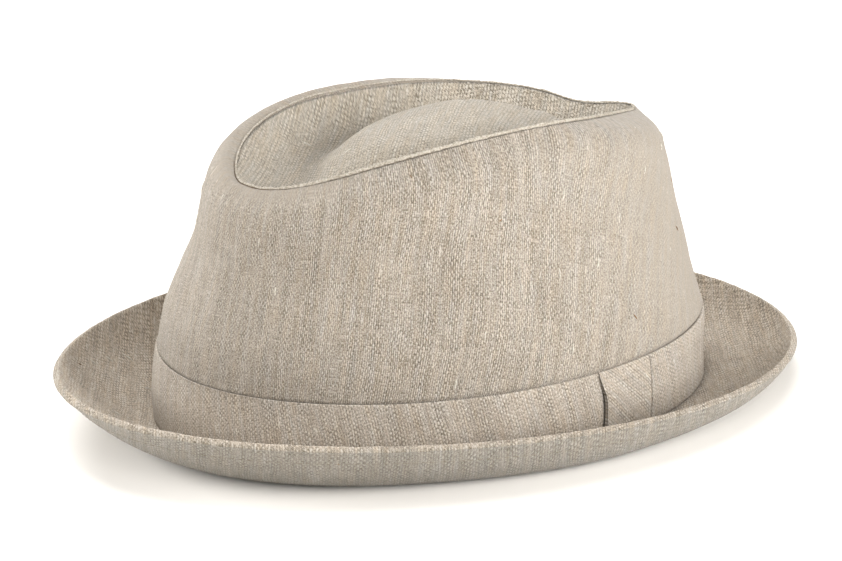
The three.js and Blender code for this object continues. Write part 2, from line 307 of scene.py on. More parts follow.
def new_tree(name, sizes):
    """A tree with a guide, named sizes and a finish going in and a piece coming out."""
    tree = bpy.data.node_groups.new(name, "GeometryNodeTree")
    tree.interface.new_socket("Guide", in_out="INPUT", socket_type="NodeSocketGeometry")
    for size, value in sizes.items():
        kind = "NodeSocketInt" if isinstance(value, int) else "NodeSocketFloat"
        tree.interface.new_socket(size, in_out="INPUT", socket_type=kind).default_value = value
    tree.interface.new_socket("Finish", in_out="INPUT", socket_type="NodeSocketMaterial")
    tree.interface.new_socket("Piece", in_out="OUTPUT", socket_type="NodeSocketGeometry")
    return tree, tree.nodes.new("NodeGroupInput").outputs


def end_tree(tree, given, geometry):
    smooth = add(tree, "GeometryNodeSetShadeSmooth", [geometry])
    plain = add(tree, "GeometryNodeRealizeInstances", [smooth])
    finished = add(tree, "GeometryNodeSetMaterial", {"Geometry": plain, "Material": given["Finish"]})
    add(tree, "NodeGroupOutput", [finished])


def grow(name, guide, tree, finish, sizes):
    """Runs a tree on a guide mesh and keeps what it makes as a plain mesh."""
    piece = bpy.data.objects.new(name, guide)
    bpy.context.scene.collection.objects.link(piece)
    modifier = piece.modifiers.new(name, "NODES")
    modifier.node_group = tree
    wanted = {**sizes, "Finish": finish}
    for socket in tree.interface.items_tree:
        if socket.name in wanted:
            modifier[socket.identifier] = wanted[socket.name]
    graph = bpy.context.evaluated_depsgraph_get()
    made = bpy.data.meshes.new_from_object(
        piece.evaluated_get(graph), preserve_all_data_layers=True, depsgraph=graph)
    piece.modifiers.remove(modifier)
    piece.data = made
    print(f"{name}: {sum(len(face.vertices) - 2 for face in made.polygons)} triangles")
    return piece


def keep(mesh, name, values):
    """Stores a number or a vector for each point of a guide, under a name that trees can read."""
    kind, field = ("FLOAT_VECTOR", "vector") if values.ndim == 2 else ("FLOAT", "value")
    mesh.attributes.new(name, kind, "POINT").data.foreach_set(field, values.astype(np.float32).ravel())


def guide_line(name, points, closed, thick, up):
    """A line of points in millimetres, with a share of the full thickness and a way up at each."""
    count = len(points)
    edges = [(i, (i + 1) % count) for i in range(count if closed else count - 1)]
    mesh = bpy.data.meshes.new(name)
    mesh.from_pydata((points * MM).tolist(), edges, [])
    keep(mesh, "thick", np.broadcast_to(thick, count))
    keep(mesh, "up", np.broadcast_to(up, (count, 3)))
    return mesh


# %% [markdown]
# ## Linen
# Linen is a plain weave of flax yarns: each warp thread goes over one weft thread and under the
# next, so that the eye sees small upright grains in a lattice. The shader draws this from the flat
# place of the cloth. That is known in millimetres, so a thread is as wide as it is on the hat, from
# 0.65 to 1.1 mm. The flat place is turned to the grain of the cut and counted in threads, slow noise
# pushes it about so that the threads wander, and two sine waves make the crossings.

# %% Where the threads lie
WANDER_LENGTH = 0.06
HALF_GREY = (0.5, 0.5, 0.5)


def thread_places(tree, turned, warp_mm, weft_mm, wandering):
    """The flat place counted in threads across and along, and how far they wander from it."""
    threads = add(tree, VECTOR, [turned, (1 / warp_mm, 1 / weft_mm, 0)], operation="MULTIPLY")
    wander = add(
        tree, "ShaderNodeTexNoise", {"Vector": threads, "Scale": WANDER_LENGTH, "Detail": 2}, out="Color")
    wander = add(tree, VECTOR, [wander, HALF_GREY], operation="SUBTRACT")
    wander = add(tree, VECTOR, {0: wander, "Scale": wandering}, operation="SCALE")
    return add(tree, VECTOR, [threads, wander], operation="ADD")


def thread_waves(tree, threads):
    """The crossings, above nought where the warp is on top, and the rib along each warp thread."""
    waves = add(tree, VECTOR, {0: threads, "Scale": math.pi}, operation="SCALE")
    waves = add(tree, VECTOR, [waves], operation="SINE")
    across = add(tree, "ShaderNodeSeparateXYZ", [waves])
    along = across.node.outputs[1]
    crossings = add(tree, MATH, [across, along], operation="MULTIPLY")
    ribs = add(tree, MATH, [across, across], operation="MULTIPLY")
    return crossings, ribs


# %% [markdown]
# Flax is uneven. Every thread has its own tone, which changes slowly along it, so the noise is read
# far apart from one thread to the next and stretched along the thread. Other noise, stretched along
# the warp too, makes bolder streaks, bundles of darker threads, slubs and warmer yarns. Single
# fibres are a tenth of a millimetre or less, too fine to show, so they are drawn three times as
# coarse. The reed of the loom parts the warp every few millimetres; there the gaps look deeper.

# %% How the threads differ
REED = {"spacing_mm": 7.1, "swing": 0.36, "base": 0.3}
STREAK_STRENGTH = 2.2
STREAK_BASE = -0.55
THREAD_APART = 7.31
TONE_CHANGE = 0.22
WEFT_SHIFT = 31.7
PATCHES = {
    "streak": {"per_mm": (0.22, 0.035, 1), "detail": 2, "roughness": 0.7, "shift": 0},
    "fibre": {"per_mm": (3.0, 1.7, 1), "detail": 1, "roughness": 0.5, "shift": 0},
    "bundle": {"per_mm": (0.5, 0.022, 1), "detail": 3, "roughness": 0.65, "shift": 40},
    "slub": {"per_mm": (0.95, 0.26, 1), "detail": 1, "roughness": 0.5, "shift": 90},
    "warm yarn": {"per_mm": (0.6, 0.06, 1), "detail": 4, "roughness": 0.7, "shift": 60},
}
for kind, patch in PATCHES.items():
    print(f"{kind}: about {1 / patch['per_mm'][0]:.1f} by {1 / patch['per_mm'][1]:.0f} mm")


def patches(tree, place, kind, turn=0.0):
    """Soft noise in patches of one kind, so many in a millimetre across and along the warp."""
    patch = PATCHES[kind]
    stretched = add(tree, "ShaderNodeMapping", {
        "Vector": place,
        "Location": (patch["shift"], 0, 0),
        "Rotation": (0, 0, math.radians(turn)),
        "Scale": patch["per_mm"],
    })
    return add(tree, "ShaderNodeTexNoise", {
        "Vector": stretched, "Scale": 1, "Detail": patch["detail"], "Roughness": patch["roughness"]})


def thread_tones(tree, threads, numbers, crossings):
    """The tone of the thread that is on top, the warp or the weft."""
    tones = []
    warp = ((THREAD_APART, 0, 0), (0, TONE_CHANGE, 0), 0.0)
    weft = ((0, THREAD_APART, 0), (TONE_CHANGE, 0, 0), WEFT_SHIFT)
    for apart, change, shift in (warp, weft):
        thread = add(tree, VECTOR, [numbers, apart], operation="MULTIPLY")
        along = add(tree, VECTOR, [threads, change, thread], operation="MULTIPLY_ADD")
        tone = {"Vector": along, "Scale": 1, "Detail": 2.5, "Roughness": 0.6, "W": shift}
        tones.append(add(tree, "ShaderNodeTexNoise", tone, noise_dimensions="4D"))
    warp_top = add(tree, "ShaderNodeMapRange", [crossings, -0.2, 0.2], interpolation_type="SMOOTHSTEP")
    return add(tree, "ShaderNodeMix", {0: warp_top, 2: tones[1], 3: tones[0]})


def weave_boldness(tree, turned, threads, warp_mm):
    """How strongly the weave shows: more in some streaks and where the reed parted the warp."""
    reed = add(tree, "ShaderNodeSeparateXYZ", [threads])
    reed = add(tree, MATH, [reed, 2 * math.pi * warp_mm / REED["spacing_mm"]], operation="MULTIPLY")
    reed = add(tree, MATH, [reed], operation="COSINE")
    reed = add(tree, MATH, [reed, REED["swing"], REED["base"]], operation="MULTIPLY_ADD")
    streaks = patches(tree, turned, "streak")
    streaks = add(tree, MATH, [streaks, STREAK_STRENGTH, STREAK_BASE], operation="MULTIPLY_ADD")
    return add(tree, MATH, [streaks, reed], operation="ADD")


def pile_up(tree, total, parts):
    """Adds parts to a total, each with its weight and counted from its own middle."""
    for part, weight, middle in parts:
        weighted = add(tree, MATH, [part, weight, -weight * middle], operation="MULTIPLY_ADD")
        total = add(tree, MATH, [weighted, total], operation="ADD")
    return total


# %% [markdown]
# One number, a half where the cloth is plain, gathers all of this and picks a colour between the
# gap, the yarn and its sunlit crown. Unbleached flax goes from grey to straw, from one yarn to the
# next, so a second pair of colours tints it. Where the cloth is pressed or pulled flat, its calm
# attribute is high and the weave hardly shows. A material may also let the calm paint shade: the
# colour is then darkened and cooled towards a grey-blue tint, which only the brim's under side gets.

# %% The colour of the cloth
COOL_FLAX = "#fbfbfb"
WARM_FLAX = "#fff7ec"
# The grey-blue tint that painted shade darkens and cools the cloth's colour towards.
PAINTED_SHADE_TINT = "#cdd4db"
WARM_YARNS = (0.36, 0.66)


def cloth_colour(tree, value, tones, turned, calm, painted_shade):
    colours = tree.nodes.new("ShaderNodeValToRGB")
    tree.links.new(value, colours.inputs[0])
    ramp = colours.color_ramp
    ramp.elements[0].position, ramp.elements[0].color = 0.0, linear(tones["dark"])
    ramp.elements[1].position, ramp.elements[1].color = 1.0, linear(tones["pale"])
    ramp.elements.new(0.5).color = linear(tones["middle"])
    warmth = add(tree, "ShaderNodeMapRange", [patches(tree, turned, "warm yarn"), *WARM_YARNS])
    flax = {0: warmth, 6: linear(COOL_FLAX), 7: linear(WARM_FLAX)}
    flax = add(tree, "ShaderNodeMix", flax, out=2, data_type="RGBA")
    colour = {0: 1.0, 6: colours.outputs[0], 7: flax}
    colour = add(tree, "ShaderNodeMix", colour, out=2, data_type="RGBA", blend_type="MULTIPLY")
    # Painted shade: the calm, times the material's share of painted shade, darkens and cools the colour
    # towards the tint.
    shade = add(tree, MATH, [calm, painted_shade], operation="MULTIPLY")
    shaded = {0: shade, 6: colour, 7: linear(PAINTED_SHADE_TINT)}
    return add(tree, "ShaderNodeMix", shaded, out=2, data_type="RGBA", blend_type="MULTIPLY")


# %% [markdown]
# The material puts the parts together. The same number that colours the cloth raises it in a bump,
# since a thread's crown is both paler and higher. Flax cloth is matt, with a faint bloom along its
# edges from the fibres that stand off it, so the shader is rough and has a little sheen.

# %% The linen material
FIBRE_CONTRAST = 2.0
BLOTCH_CONTRAST = 0.25
BLOTCHES_PER_MM = 0.05
SLUB_FROM_TO = (0.67, 0.77)
SLUB_PALENESS = 0.5
VALUE_RELIEF = 0.6
THREAD_RELIEF_M = 0.00025


def linen(name, tones, warp_mm, weft_mm, turn=0.0, crossing=0.3, rib=0.0, grain=0.3, yarn=1.0,
          strength=0.5, contrast=1.0, wandering=2.6, bundles=0.8, painted_shade=0.0, seed=0.0):
    """A plain weave; the sizes are of one thread, and the rest says how strongly each part shows."""
    material = bpy.data.materials.new(name)
    material.use_nodes = True
    tree = material.node_tree
    shader = tree.nodes["Principled BSDF"]
    place = add(tree, "ShaderNodeUVMap", uv_map="cloth_mm")
    grain_way = {"Vector": place, "Location": (seed, 0, 0), "Rotation": (0, 0, math.radians(turn))}
    turned = add(tree, "ShaderNodeMapping", grain_way)
    threads = thread_places(tree, turned, warp_mm, weft_mm, wandering)
    crossings, ribs = thread_waves(tree, threads)
    numbers = add(tree, VECTOR, [threads], operation="FLOOR")
    own_brightness = add(tree, "ShaderNodeTexWhiteNoise", {"Vector": numbers}, noise_dimensions="2D")
    weave = pile_up(tree, 0.0, [
        (crossings, crossing, 0.0), (ribs, rib, 0.5), (own_brightness, grain, 0.5)])
    boldness = weave_boldness(tree, turned, threads, warp_mm)
    value = add(tree, MATH, [weave, boldness, 0.5], operation="MULTIPLY_ADD")
    blotches = {"Vector": place, "Scale": BLOTCHES_PER_MM, "Detail": 4, "Roughness": 0.6}
    value = pile_up(tree, value, [
        (thread_tones(tree, threads, numbers, crossings), yarn, 0.5),
        (patches(tree, place, "fibre", turn), FIBRE_CONTRAST, 0.5),
        (patches(tree, turned, "bundle"), bundles, 0.5),
        (add(tree, "ShaderNodeTexNoise", blotches), BLOTCH_CONTRAST, 0.5),
    ])
    slub = patches(tree, turned, "slub")
    slub = add(tree, "ShaderNodeMapRange", [slub, *SLUB_FROM_TO], interpolation_type="SMOOTHSTEP")
    value = add(tree, MATH, [slub, SLUB_PALENESS, value], operation="MULTIPLY_ADD")

    calm = add(tree, "ShaderNodeAttribute", out="Fac", attribute_name="calm")
    clear = add(tree, MATH, [calm, -contrast, contrast], operation="MULTIPLY_ADD")
    value = add(tree, MATH, [value, 0.5], operation="SUBTRACT")
    value = add(tree, MATH, [value, clear, 0.5], operation="MULTIPLY_ADD")
    colour = cloth_colour(tree, value, tones, turned, calm, painted_shade)
    tree.links.new(colour, shader.inputs["Base Color"])

    crowns = add(tree, MATH, [crossings], operation="ABSOLUTE")
    crowns = add(tree, MATH, [crowns, 0.5], operation="POWER")
    relief = add(tree, MATH, [value, VALUE_RELIEF, crowns], operation="MULTIPLY_ADD")
    relief = add(tree, MATH, [relief, clear], operation="MULTIPLY")
    bump = add(tree, "ShaderNodeBump", {
        "Strength": strength, "Distance": THREAD_RELIEF_M, "Height": relief})
    tree.links.new(bump, shader.inputs["Normal"])
    shader.inputs["Roughness"].default_value = 0.92
    shader.inputs["Specular IOR Level"].default_value = 0.25
    shader.inputs["Sheen Weight"].default_value = 0.12
    shader.inputs["Sheen Roughness"].default_value = 0.6
    return material


# %% [markdown]
# The five cuts come from the same bolt, but lie and wear differently. The wall is cut with its warp
# upright and looks the finest. The tip and the tab are cut on the slant, the band nearly straight
# and from a coarser stretch, and the brim's threads run across the near edge. The brim has the
# warmest colour, and a painted shade makes its under side darker and cooler.

# %% Linen for each cut
WALL_TONES = {"pale": "#aba59c", "middle": "#898278", "dark": "#595146"}
TIP_TONES = {"pale": "#b3ada3", "middle": "#908a7f", "dark": "#5c5448"}
BAND_TONES = {"pale": "#b9b3a9", "middle": "#968e84", "dark": "#645c50"}
BRIM_TONES = {"pale": "#bcb3a7", "middle": "#988e80", "dark": "#62584a"}

wall_linen = linen(
    "plain_woven_linen_wall", WALL_TONES, warp_mm=0.65, weft_mm=1.1, crossing=0.2, rib=0.48,
    grain=0.16, contrast=0.94, seed=3.0)
tip_linen = linen(
    "plain_woven_linen_tip", TIP_TONES, warp_mm=1.0, weft_mm=0.8, turn=57, crossing=0.2, rib=0.3,
    grain=0.2, strength=0.4, contrast=0.75, wandering=1.4, bundles=0.3, seed=11.0)
band_linen = linen(
    "plain_woven_linen_band", BAND_TONES, warp_mm=0.92, weft_mm=0.76, turn=-12, crossing=0.22,
    rib=0.3, grain=0.2, yarn=0.75, contrast=0.9, wandering=2.0, seed=23.0)
tab_linen = linen(
    "plain_woven_linen_tab", BAND_TONES, warp_mm=0.9, weft_mm=0.9, turn=-45, crossing=0.18,
    rib=0.36, grain=0.2, yarn=0.8, contrast=0.8, wandering=1.2, seed=37.0)
# The brim's under side gets painted shade, darker and cooler, through its calm.
brim_linen = linen(
    "plain_woven_linen_brim", BRIM_TONES, warp_mm=0.9, weft_mm=0.95, turn=44, crossing=0.24,
    rib=0.25, grain=0.22, contrast=1.05, painted_shade=3.8, seed=53.0)
for cloth in (wall_linen, tip_linen, band_linen, tab_linen, brim_linen):
    print(f"{cloth.name}: {len(cloth.node_tree.nodes)} shader nodes")

# %% [markdown]
# The seams are sewn with a brown thread, and thick places of the yarn, which weavers call slubs,
# stand out paler than the cloth. Both take a simple finish: soft noise in the Object coordinates,
# a few fibres wide, varies their colour.

# %% Thread and loose fibres
def plain_fibre(name, light, dark, size_mm):
    material = bpy.data.materials.new(name)
    material.use_nodes = True
    tree = material.node_tree
    shader = tree.nodes["Principled BSDF"]
    place = add(tree, "ShaderNodeTexCoord", out="Object")
    speckle = {"Vector": place, "Scale": 1 / (size_mm * MM), "Detail": 3, "Roughness": 0.7}
    speckle = add(tree, "ShaderNodeTexNoise", speckle)
    speckle = add(tree, "ShaderNodeMapRange", [speckle, 0.35, 0.65])
    colour = {0: speckle, 6: linear(dark), 7: linear(light)}
    colour = add(tree, "ShaderNodeMix", colour, out=2, data_type="RGBA")
    tree.links.new(colour, shader.inputs["Base Color"])
    bump = add(tree, "ShaderNodeBump", {"Strength": 0.4, "Distance": 0.0001, "Height": speckle})
    tree.links.new(bump, shader.inputs["Normal"])
    shader.inputs["Roughness"].default_value = 0.9
    shader.inputs["Specular IOR Level"].default_value = 0.2
    return material


seam_thread = plain_fibre("brown_seam_thread", "#6b5a47", "#43362a", 0.8)
pale_flax = plain_fibre("pale_flax_fibre", "#beb8ad", "#979083", 0.9)
brown_flax = plain_fibre("brown_flax_fleck", "#8c6844", "#4b3725", 0.7)
piping_linen = plain_fibre("linen_piping", "#b3aca0", "#7f7668", 0.7)
hem_thread = plain_fibre("linen_hem_thread", "#877e6f", "#696154", 0.8)
print("materials so far:", [material.name for material in bpy.data.materials])

# %% [markdown]
# ## The crown wall
# The side of the crown is one band of linen over a stiff base. It stands almost straight behind
# the hatband, leans in above it and rolls over just before the rim seam. Soft dents show where
# hands have held it. It has an outer and an inner face, because one can look into the hat.

# %% Sections and dents of the crown wall
BRIM_THICKNESS = 2.4
WALL_THICKNESS = 2.0
GAP = 0.3
WALL_FOOT = BRIM_THICKNESS + GAP
WALL_SECTIONS = {
    "rise": [0, 0.14, 0.28, 0.42, 0.56, 0.7, 0.84, 0.93, 0.975, 1],
    "back": [0.02, 0, 0.06, 0.15, 0.32, 0.5, 0.595, 0.705, 0.88, 1],
    "side": [0.02, 0, 0.06, 0.18, 0.34, 0.52, 0.7, 0.83, 0.94, 1],
    "front": [-0.02, 0, 0, 0.13, 0.24, 0.36, 0.46, 0.56, 0.72, 1],
    "lift": [0, 0, 0, 0, 0, 0, 0, 1.2, 2.6, 0],
}
ROLL_SHARE = {"back": 1, "side": 1, "front": 0.7}
ROLL_FADE = {"back": 0.05, "front": -0.3, "over": 0.3}
SEAM_LIFT = {"back": -1.6, "side": -1.6, "front": 1.8}
SEAM_LIFT_FROM = 0.965
WAIST = {"top": 25.95, "ease": 0.7, "depth": 1.0}
WALL_DENTS = {
    "angle": [-128, -62, 118, 52, -112],
    "rise": [0.7, 0.62, 0.66, 0.74, 0.42],
    "wide": [13, 12, 14, 12, 7],
    "tall": [0.2, 0.22, 0.22, 0.2, 0.16],
    "depth": [1.8, 1.2, 1.6, 1.6, -0.7],
}
INNER_FACE_TURNS_DOWN = {"from": 0.84, "over": 0.16}
print("the deepest dent goes in", max(WALL_DENTS["depth"]), "mm")


# %% [markdown]
# A point of the wall moves from the head's oval to the rim's by the share that the sections give.
# The roll lifts it just before the seam, the hatband's waist draws it in, and each dent pushes it
# in along the normal. The inner face lies one cloth's thickness behind, and turns down under the
# seam, because there the tip's edge is sewn on from inside.

# %% Crown wall surface
def roll_share(angle):
    start = np.where(np.cos(angle) < 0, ROLL_FADE["back"], ROLL_FADE["front"])
    return blend(angle, *ROLL_SHARE.values()) * ease((np.sin(angle) - start) / ROLL_FADE["over"])


def roll_lift(angle, rise):
    near = ease((rise - SEAM_LIFT_FROM) / (1 - SEAM_LIFT_FROM))
    seam = blend(angle, *SEAM_LIFT.values())
    return roll_share(angle) * (curve(WALL_SECTIONS, "rise", "lift", rise) + seam * near)


def seam_height(angle):
    return rim_height(angle) + roll_lift(angle, np.ones_like(angle))


def smooth_wall(angle, rise):
    angle, rise = np.broadcast_arrays(angle, rise)
    (foot_x, foot_y), (rim_x, rim_y) = on_oval(angle, HEAD_OVAL), on_oval(angle, RIM_OVAL)
    moved = section(WALL_SECTIONS, "rise", rise, angle)
    height = rise * rim_height(angle) + roll_lift(angle, rise)
    return np.stack([mix(foot_x, rim_x, moved), mix(foot_y, rim_y, moved), height], axis=-1)


def outward(surface, angle, rise):
    across = surface(angle + 0.01, rise) - surface(angle - 0.01, rise)
    up = surface(angle, np.minimum(rise + 0.01, 1)) - surface(angle, rise - 0.01)
    return unit(np.cross(across, up))


def wall_point(angle, rise):
    point = smooth_wall(angle, rise)
    depth = WAIST["depth"] * ease((WAIST["top"] + WAIST["ease"] - point[..., 2]) / WAIST["ease"])
    for at, height, wide, tall, deep in zip(*WALL_DENTS.values()):
        turn = np.degrees(angle) - at
        turn = turn - 360 * np.round(turn / 360)
        depth = depth + deep * bell(turn / wide) * bell((rise - height) / tall)
    return point - outward(smooth_wall, angle, rise) * depth[..., None]


def inner_wall(angle, rise):
    inward = -outward(wall_point, angle, rise)
    down = np.array([0, 0, -1.0])
    turn = INNER_FACE_TURNS_DOWN
    way = mix(inward, down, ease((rise - turn["from"]) / turn["over"])[..., None])
    return wall_point(angle, rise) + way * WALL_THICKNESS


front_and_back = seam_height(np.array([0, math.pi])).round(1)
print("the rim seam is", front_and_back, "mm high at the front and the back")

# %% [markdown]
# Rows of points climb the wall on both faces, closest where it rolls into the rim. Steamed cloth is
# never quite even, so slow lumps of a tenth of a millimetre or two lie on the part above the band,
# and on the far side of the front the cut edge under the rim seam looks a little ragged.

# %% Points of the crown wall
COLUMNS = 400
GRAIN_ZERO = math.radians(-168)
LUMP_HEIGHT = 0.16
COARSE_LUMP, FINE_LUMP, RAGGED_LUMP = 9, 3.5, 1.3
RAGGED = {"height": 0.8, "front_from": 0.3, "front_over": 0.4, "rise_from": 0.86, "rise_over": 0.08}

angles = np.arange(COLUMNS) / COLUMNS * 2 * math.pi
cut_angles = GRAIN_ZERO - math.pi + np.arange(COLUMNS + 1) / COLUMNS * 2 * math.pi
wall_angles = cut_angles[:-1]


def rise_rows(behind_band, above_band):
    """Rows of the wall: even heights behind the band, closer ones towards the rim."""
    waist_end = WAIST["top"] + WAIST["ease"]
    low = np.linspace(WALL_FOOT, waist_end, behind_band)[:, None] / rim_height(wall_angles)
    share = 1 - (1 - np.linspace(0, 1, above_band + 1)[1:]) ** 1.25
    high = mix(waist_end / rim_height(wall_angles), 1, share[:, None])
    return np.concatenate([low, high])


outer_rises = rise_rows(46, 96)
inner_rises = rise_rows(10, 40)
outer = wall_point(wall_angles, outer_rises)
unevenness = lumps(outer, COARSE_LUMP, 3.1) + 0.5 * lumps(outer, FINE_LUMP, 7.7)
unevenness *= ease((outer[..., 2] - WAIST["top"]) / 6)
ragged = RAGGED["height"] * ease(np.sin(wall_angles) / 0.2)
ragged = ragged * ease((np.cos(wall_angles) - RAGGED["front_from"]) / RAGGED["front_over"])
ragged = ragged * ease((outer_rises - RAGGED["rise_from"]) / RAGGED["rise_over"])
ragged = ragged * ease((1 - outer_rises) / 0.02) * lumps(outer, RAGGED_LUMP, 12.1)
unevenness = LUMP_HEIGHT * unevenness + ragged
outer = outer + outward(wall_point, wall_angles, outer_rises) * unevenness[..., None]
inner = inner_wall(wall_angles, inner_rises)
inner[0, :, 2] = WALL_FOOT
wall_points = np.concatenate([outer, inner[::-1]])
print("crown wall", np.ptp(outer.reshape(-1, 3), axis=0).round(1), "mm")

# %% [markdown]
# The wall was cut flat as an arc, like the paper of a cone, and the threads run straight across
# that arc. On the hat they therefore turn slowly from upright as one goes round. The flat place
# of a point is worked out the same way: a slant length and an angle that grows more slowly than
# the angle round the hat.

# %% Flat cut of the crown wall
FLAT_TURN = 0.31
FLAT_RADIUS = 300
WALL_SLANT = 103


def cone_place(angle, slant):
    turn = FLAT_TURN * (angle - GRAIN_ZERO)
    radius = FLAT_RADIUS - slant
    flat = np.broadcast_arrays(radius * np.sin(turn), FLAT_RADIUS - radius * np.cos(turn))
    return np.stack(flat, axis=-1)


slant_out = outer_rises.mean(axis=1) * WALL_SLANT
slant_in = WALL_SLANT + WALL_THICKNESS + (1 - inner_rises[::-1].mean(axis=1)) * WALL_SLANT
slants = np.concatenate([slant_out, slant_in, [slant_in[-1] + WALL_THICKNESS]])[:, None]
wall_flat = cone_place(cut_angles, slants)
crown_wall = cloth_mesh("crown_wall_linen", wall_points, wall_flat, wrap_rows=True)

# %% [markdown]
# The cloth is pulled flat over the rim seam and over the pinched front, where hands hold a hat, so
# the weave shows less there. The near side keeps it up to the seam.

# %% Where the wall is calm
CALM_RIM = {"most": 0.7, "width": 4.0, "less_near": 0.85}
CALM_FRONT = {"most": 0.66, "from": -25, "over": 100}
CALM_BACK = {"most": 0.05, "from": -30, "over": 40}
below_rim = rim_height(wall_angles) - outer[..., 2]
well_below = np.full_like(inner[..., 2], 10 * CALM_RIM["width"])
below_rim = np.concatenate([below_rim, well_below])
near_side = ease((-np.sin(wall_angles) - 0.35) / 0.5)
calm_rim = CALM_RIM["most"] * bell(below_rim / CALM_RIM["width"]) * (1 - CALM_RIM["less_near"] * near_side)
calm_front = CALM_FRONT["most"] * ease((wall_points[..., 0] - CALM_FRONT["from"]) / CALM_FRONT["over"])
calm_back = CALM_BACK["most"] * ease((CALM_BACK["from"] - wall_points[..., 0]) / CALM_BACK["over"])
wall_calm = np.maximum(np.maximum(calm_rim, calm_front), calm_back)
keep(crown_wall.data, "calm", wall_calm.ravel())
print("calm of the wall from", wall_calm.min().round(2), "to", wall_calm.max().round(2))

# %% [markdown]
# ## The crown tip
# The top of the crown is one oval of the same cloth. It humps in the middle and dips in a groove
# all round before it comes up to the rim, deepest at the pinched front. It is cut a little across
# the grain, so its ribs run slantwise.

# %% Crown tip surface
TIP_THICKNESS = 1.6
TIP_CREST = {"along": 17, "height": 100.2, "step_from": 0.45}
TIP_SECTIONS = {
    "out": [-0.22, 0, 0.22, 0.45, 0.67, 0.82, 0.93, 1],
    "back": [2.5, 0, 2.5, 6.6, 14.6, 10.4, 4.2, 0],
    "side": [2.2, 0, 2.2, 6.4, 15.2, 12.8, 5.8, 0],
    "front": [4.2, 0, 4.2, 11, 15.1, 8.6, 3, 0],
}
TIP_INSET = 1.5 * GAP
TIP_ROWS = 72
FIRST_ROW_OUT = 0.004
STEEPEST = 1.7


def tip_point(angle, out):
    angle, out = np.broadcast_arrays(angle, out)
    rim_x, rim_y = on_oval(angle, RIM_OVAL)
    out = out * (1 - TIP_INSET / np.hypot(rim_x - TIP_CREST["along"], rim_y))
    step = ease((out - TIP_CREST["step_from"]) / (1 - TIP_CREST["step_from"]))
    height = mix(TIP_CREST["height"], seam_height(angle), step)
    height = height - section(TIP_SECTIONS, "out", out, angle)
    return np.stack([mix(TIP_CREST["along"], rim_x, out), rim_y * out, height], axis=-1)


tip_rows = np.concatenate([[FIRST_ROW_OUT], np.linspace(0.02, 1, TIP_ROWS)])[:, None]
top = tip_point(angles, tip_rows)
top[..., 2] += LUMP_HEIGHT * (lumps(top, COARSE_LUMP, 5.3) + 0.5 * lumps(top, FINE_LUMP, 1.7))
steps = np.diff(top, axis=0)
slope = np.linalg.norm(steps, axis=-1) / np.linalg.norm(steps[..., :2], axis=-1)
slope = np.concatenate([slope[:1], slope])
under = top - np.array([0, 0, TIP_THICKNESS]) * np.minimum(slope, STEEPEST)[..., None]
tip_points = np.concatenate([top, under[::-1]])
print("tip oval", np.ptp(top[..., :2].reshape(-1, 2), axis=0).round(), "mm")

# %% [markdown]
# The tip is cut flat and hardly stretched, so its flat place is simply where it lies seen from
# above. A calm value below nought makes the weave bolder. It does so on the far inner slope of the
# front, where the light comes along the cloth. The rows of points end in a small ring at the crest
# on each face, and each ring is drawn together into one point, so that the shell is closed.

# %% Crown tip mesh
BOLD_FRONT = {"most": 0.9, "from": 20, "over": 40, "aside": 10}

tip_flat = with_wrap(tip_points[..., :2].copy(), 1)
crown_tip = cloth_mesh("crown_tip_linen", tip_points, tip_flat, flip=True)
bold_front = ease((tip_points[..., 0] - BOLD_FRONT["from"]) / BOLD_FRONT["over"])
bold_front = bold_front * ease(tip_points[..., 1] / BOLD_FRONT["aside"])
keep(crown_tip.data, "calm", (-BOLD_FRONT["most"] * bold_front).ravel())
tip_shell = bmesh.new()
tip_shell.from_mesh(crown_tip.data)
tip_shell.verts.ensure_lookup_table()
for first in (0, len(tip_shell.verts) - COLUMNS):
    pole = tip_shell.verts[first:first + COLUMNS]
    middle = sum((v.co for v in pole), Vector()) / COLUMNS
    for v in pole:
        v.co = middle
bmesh.ops.remove_doubles(tip_shell, verts=tip_shell.verts, dist=0.0001 * MM)
print("open edges of the tip:", sum(edge.is_boundary for edge in tip_shell.edges))
tip_shell.to_mesh(crown_tip.data)
tip_shell.free()

# %% [markdown]
# ## The brim
# The brim is a ring: flat where the hat stands, then curling up to an edge that is highest at the
# back. Its shape follows a rule, so Geometry Nodes loft it. Its guide is a ring of points, and each
# keeps where the brim leaves the crown, where its edge is and how high that lies. The curl between
# the two comes from three curves, for the back, the sides and the front.

# %% Lines that the brim is lofted between
FLAT_RING = {"back": 0.5, "side": 4, "front": 4.6}
EDGE_HEIGHT = {"sides": 17.3, "slope": -5.8, "bow": 1.4, "length": 140}
BRIM_CURL = {
    "out": [0, 0.2, 0.4, 0.6, 0.8, 1],
    "back": [0, 0.07, 0.22, 0.425, 0.685, 1],
    "side": [0, 0.021, 0.111, 0.293, 0.585, 1],
    "front": [0, 0.004, 0.04, 0.167, 0.458, 1],
}


def edge_height(x):
    along = (x - BRIM_OVAL["middle"]) / EDGE_HEIGHT["length"]
    return EDGE_HEIGHT["sides"] + EDGE_HEIGHT["slope"] * along + EDGE_HEIGHT["bow"] * along * along


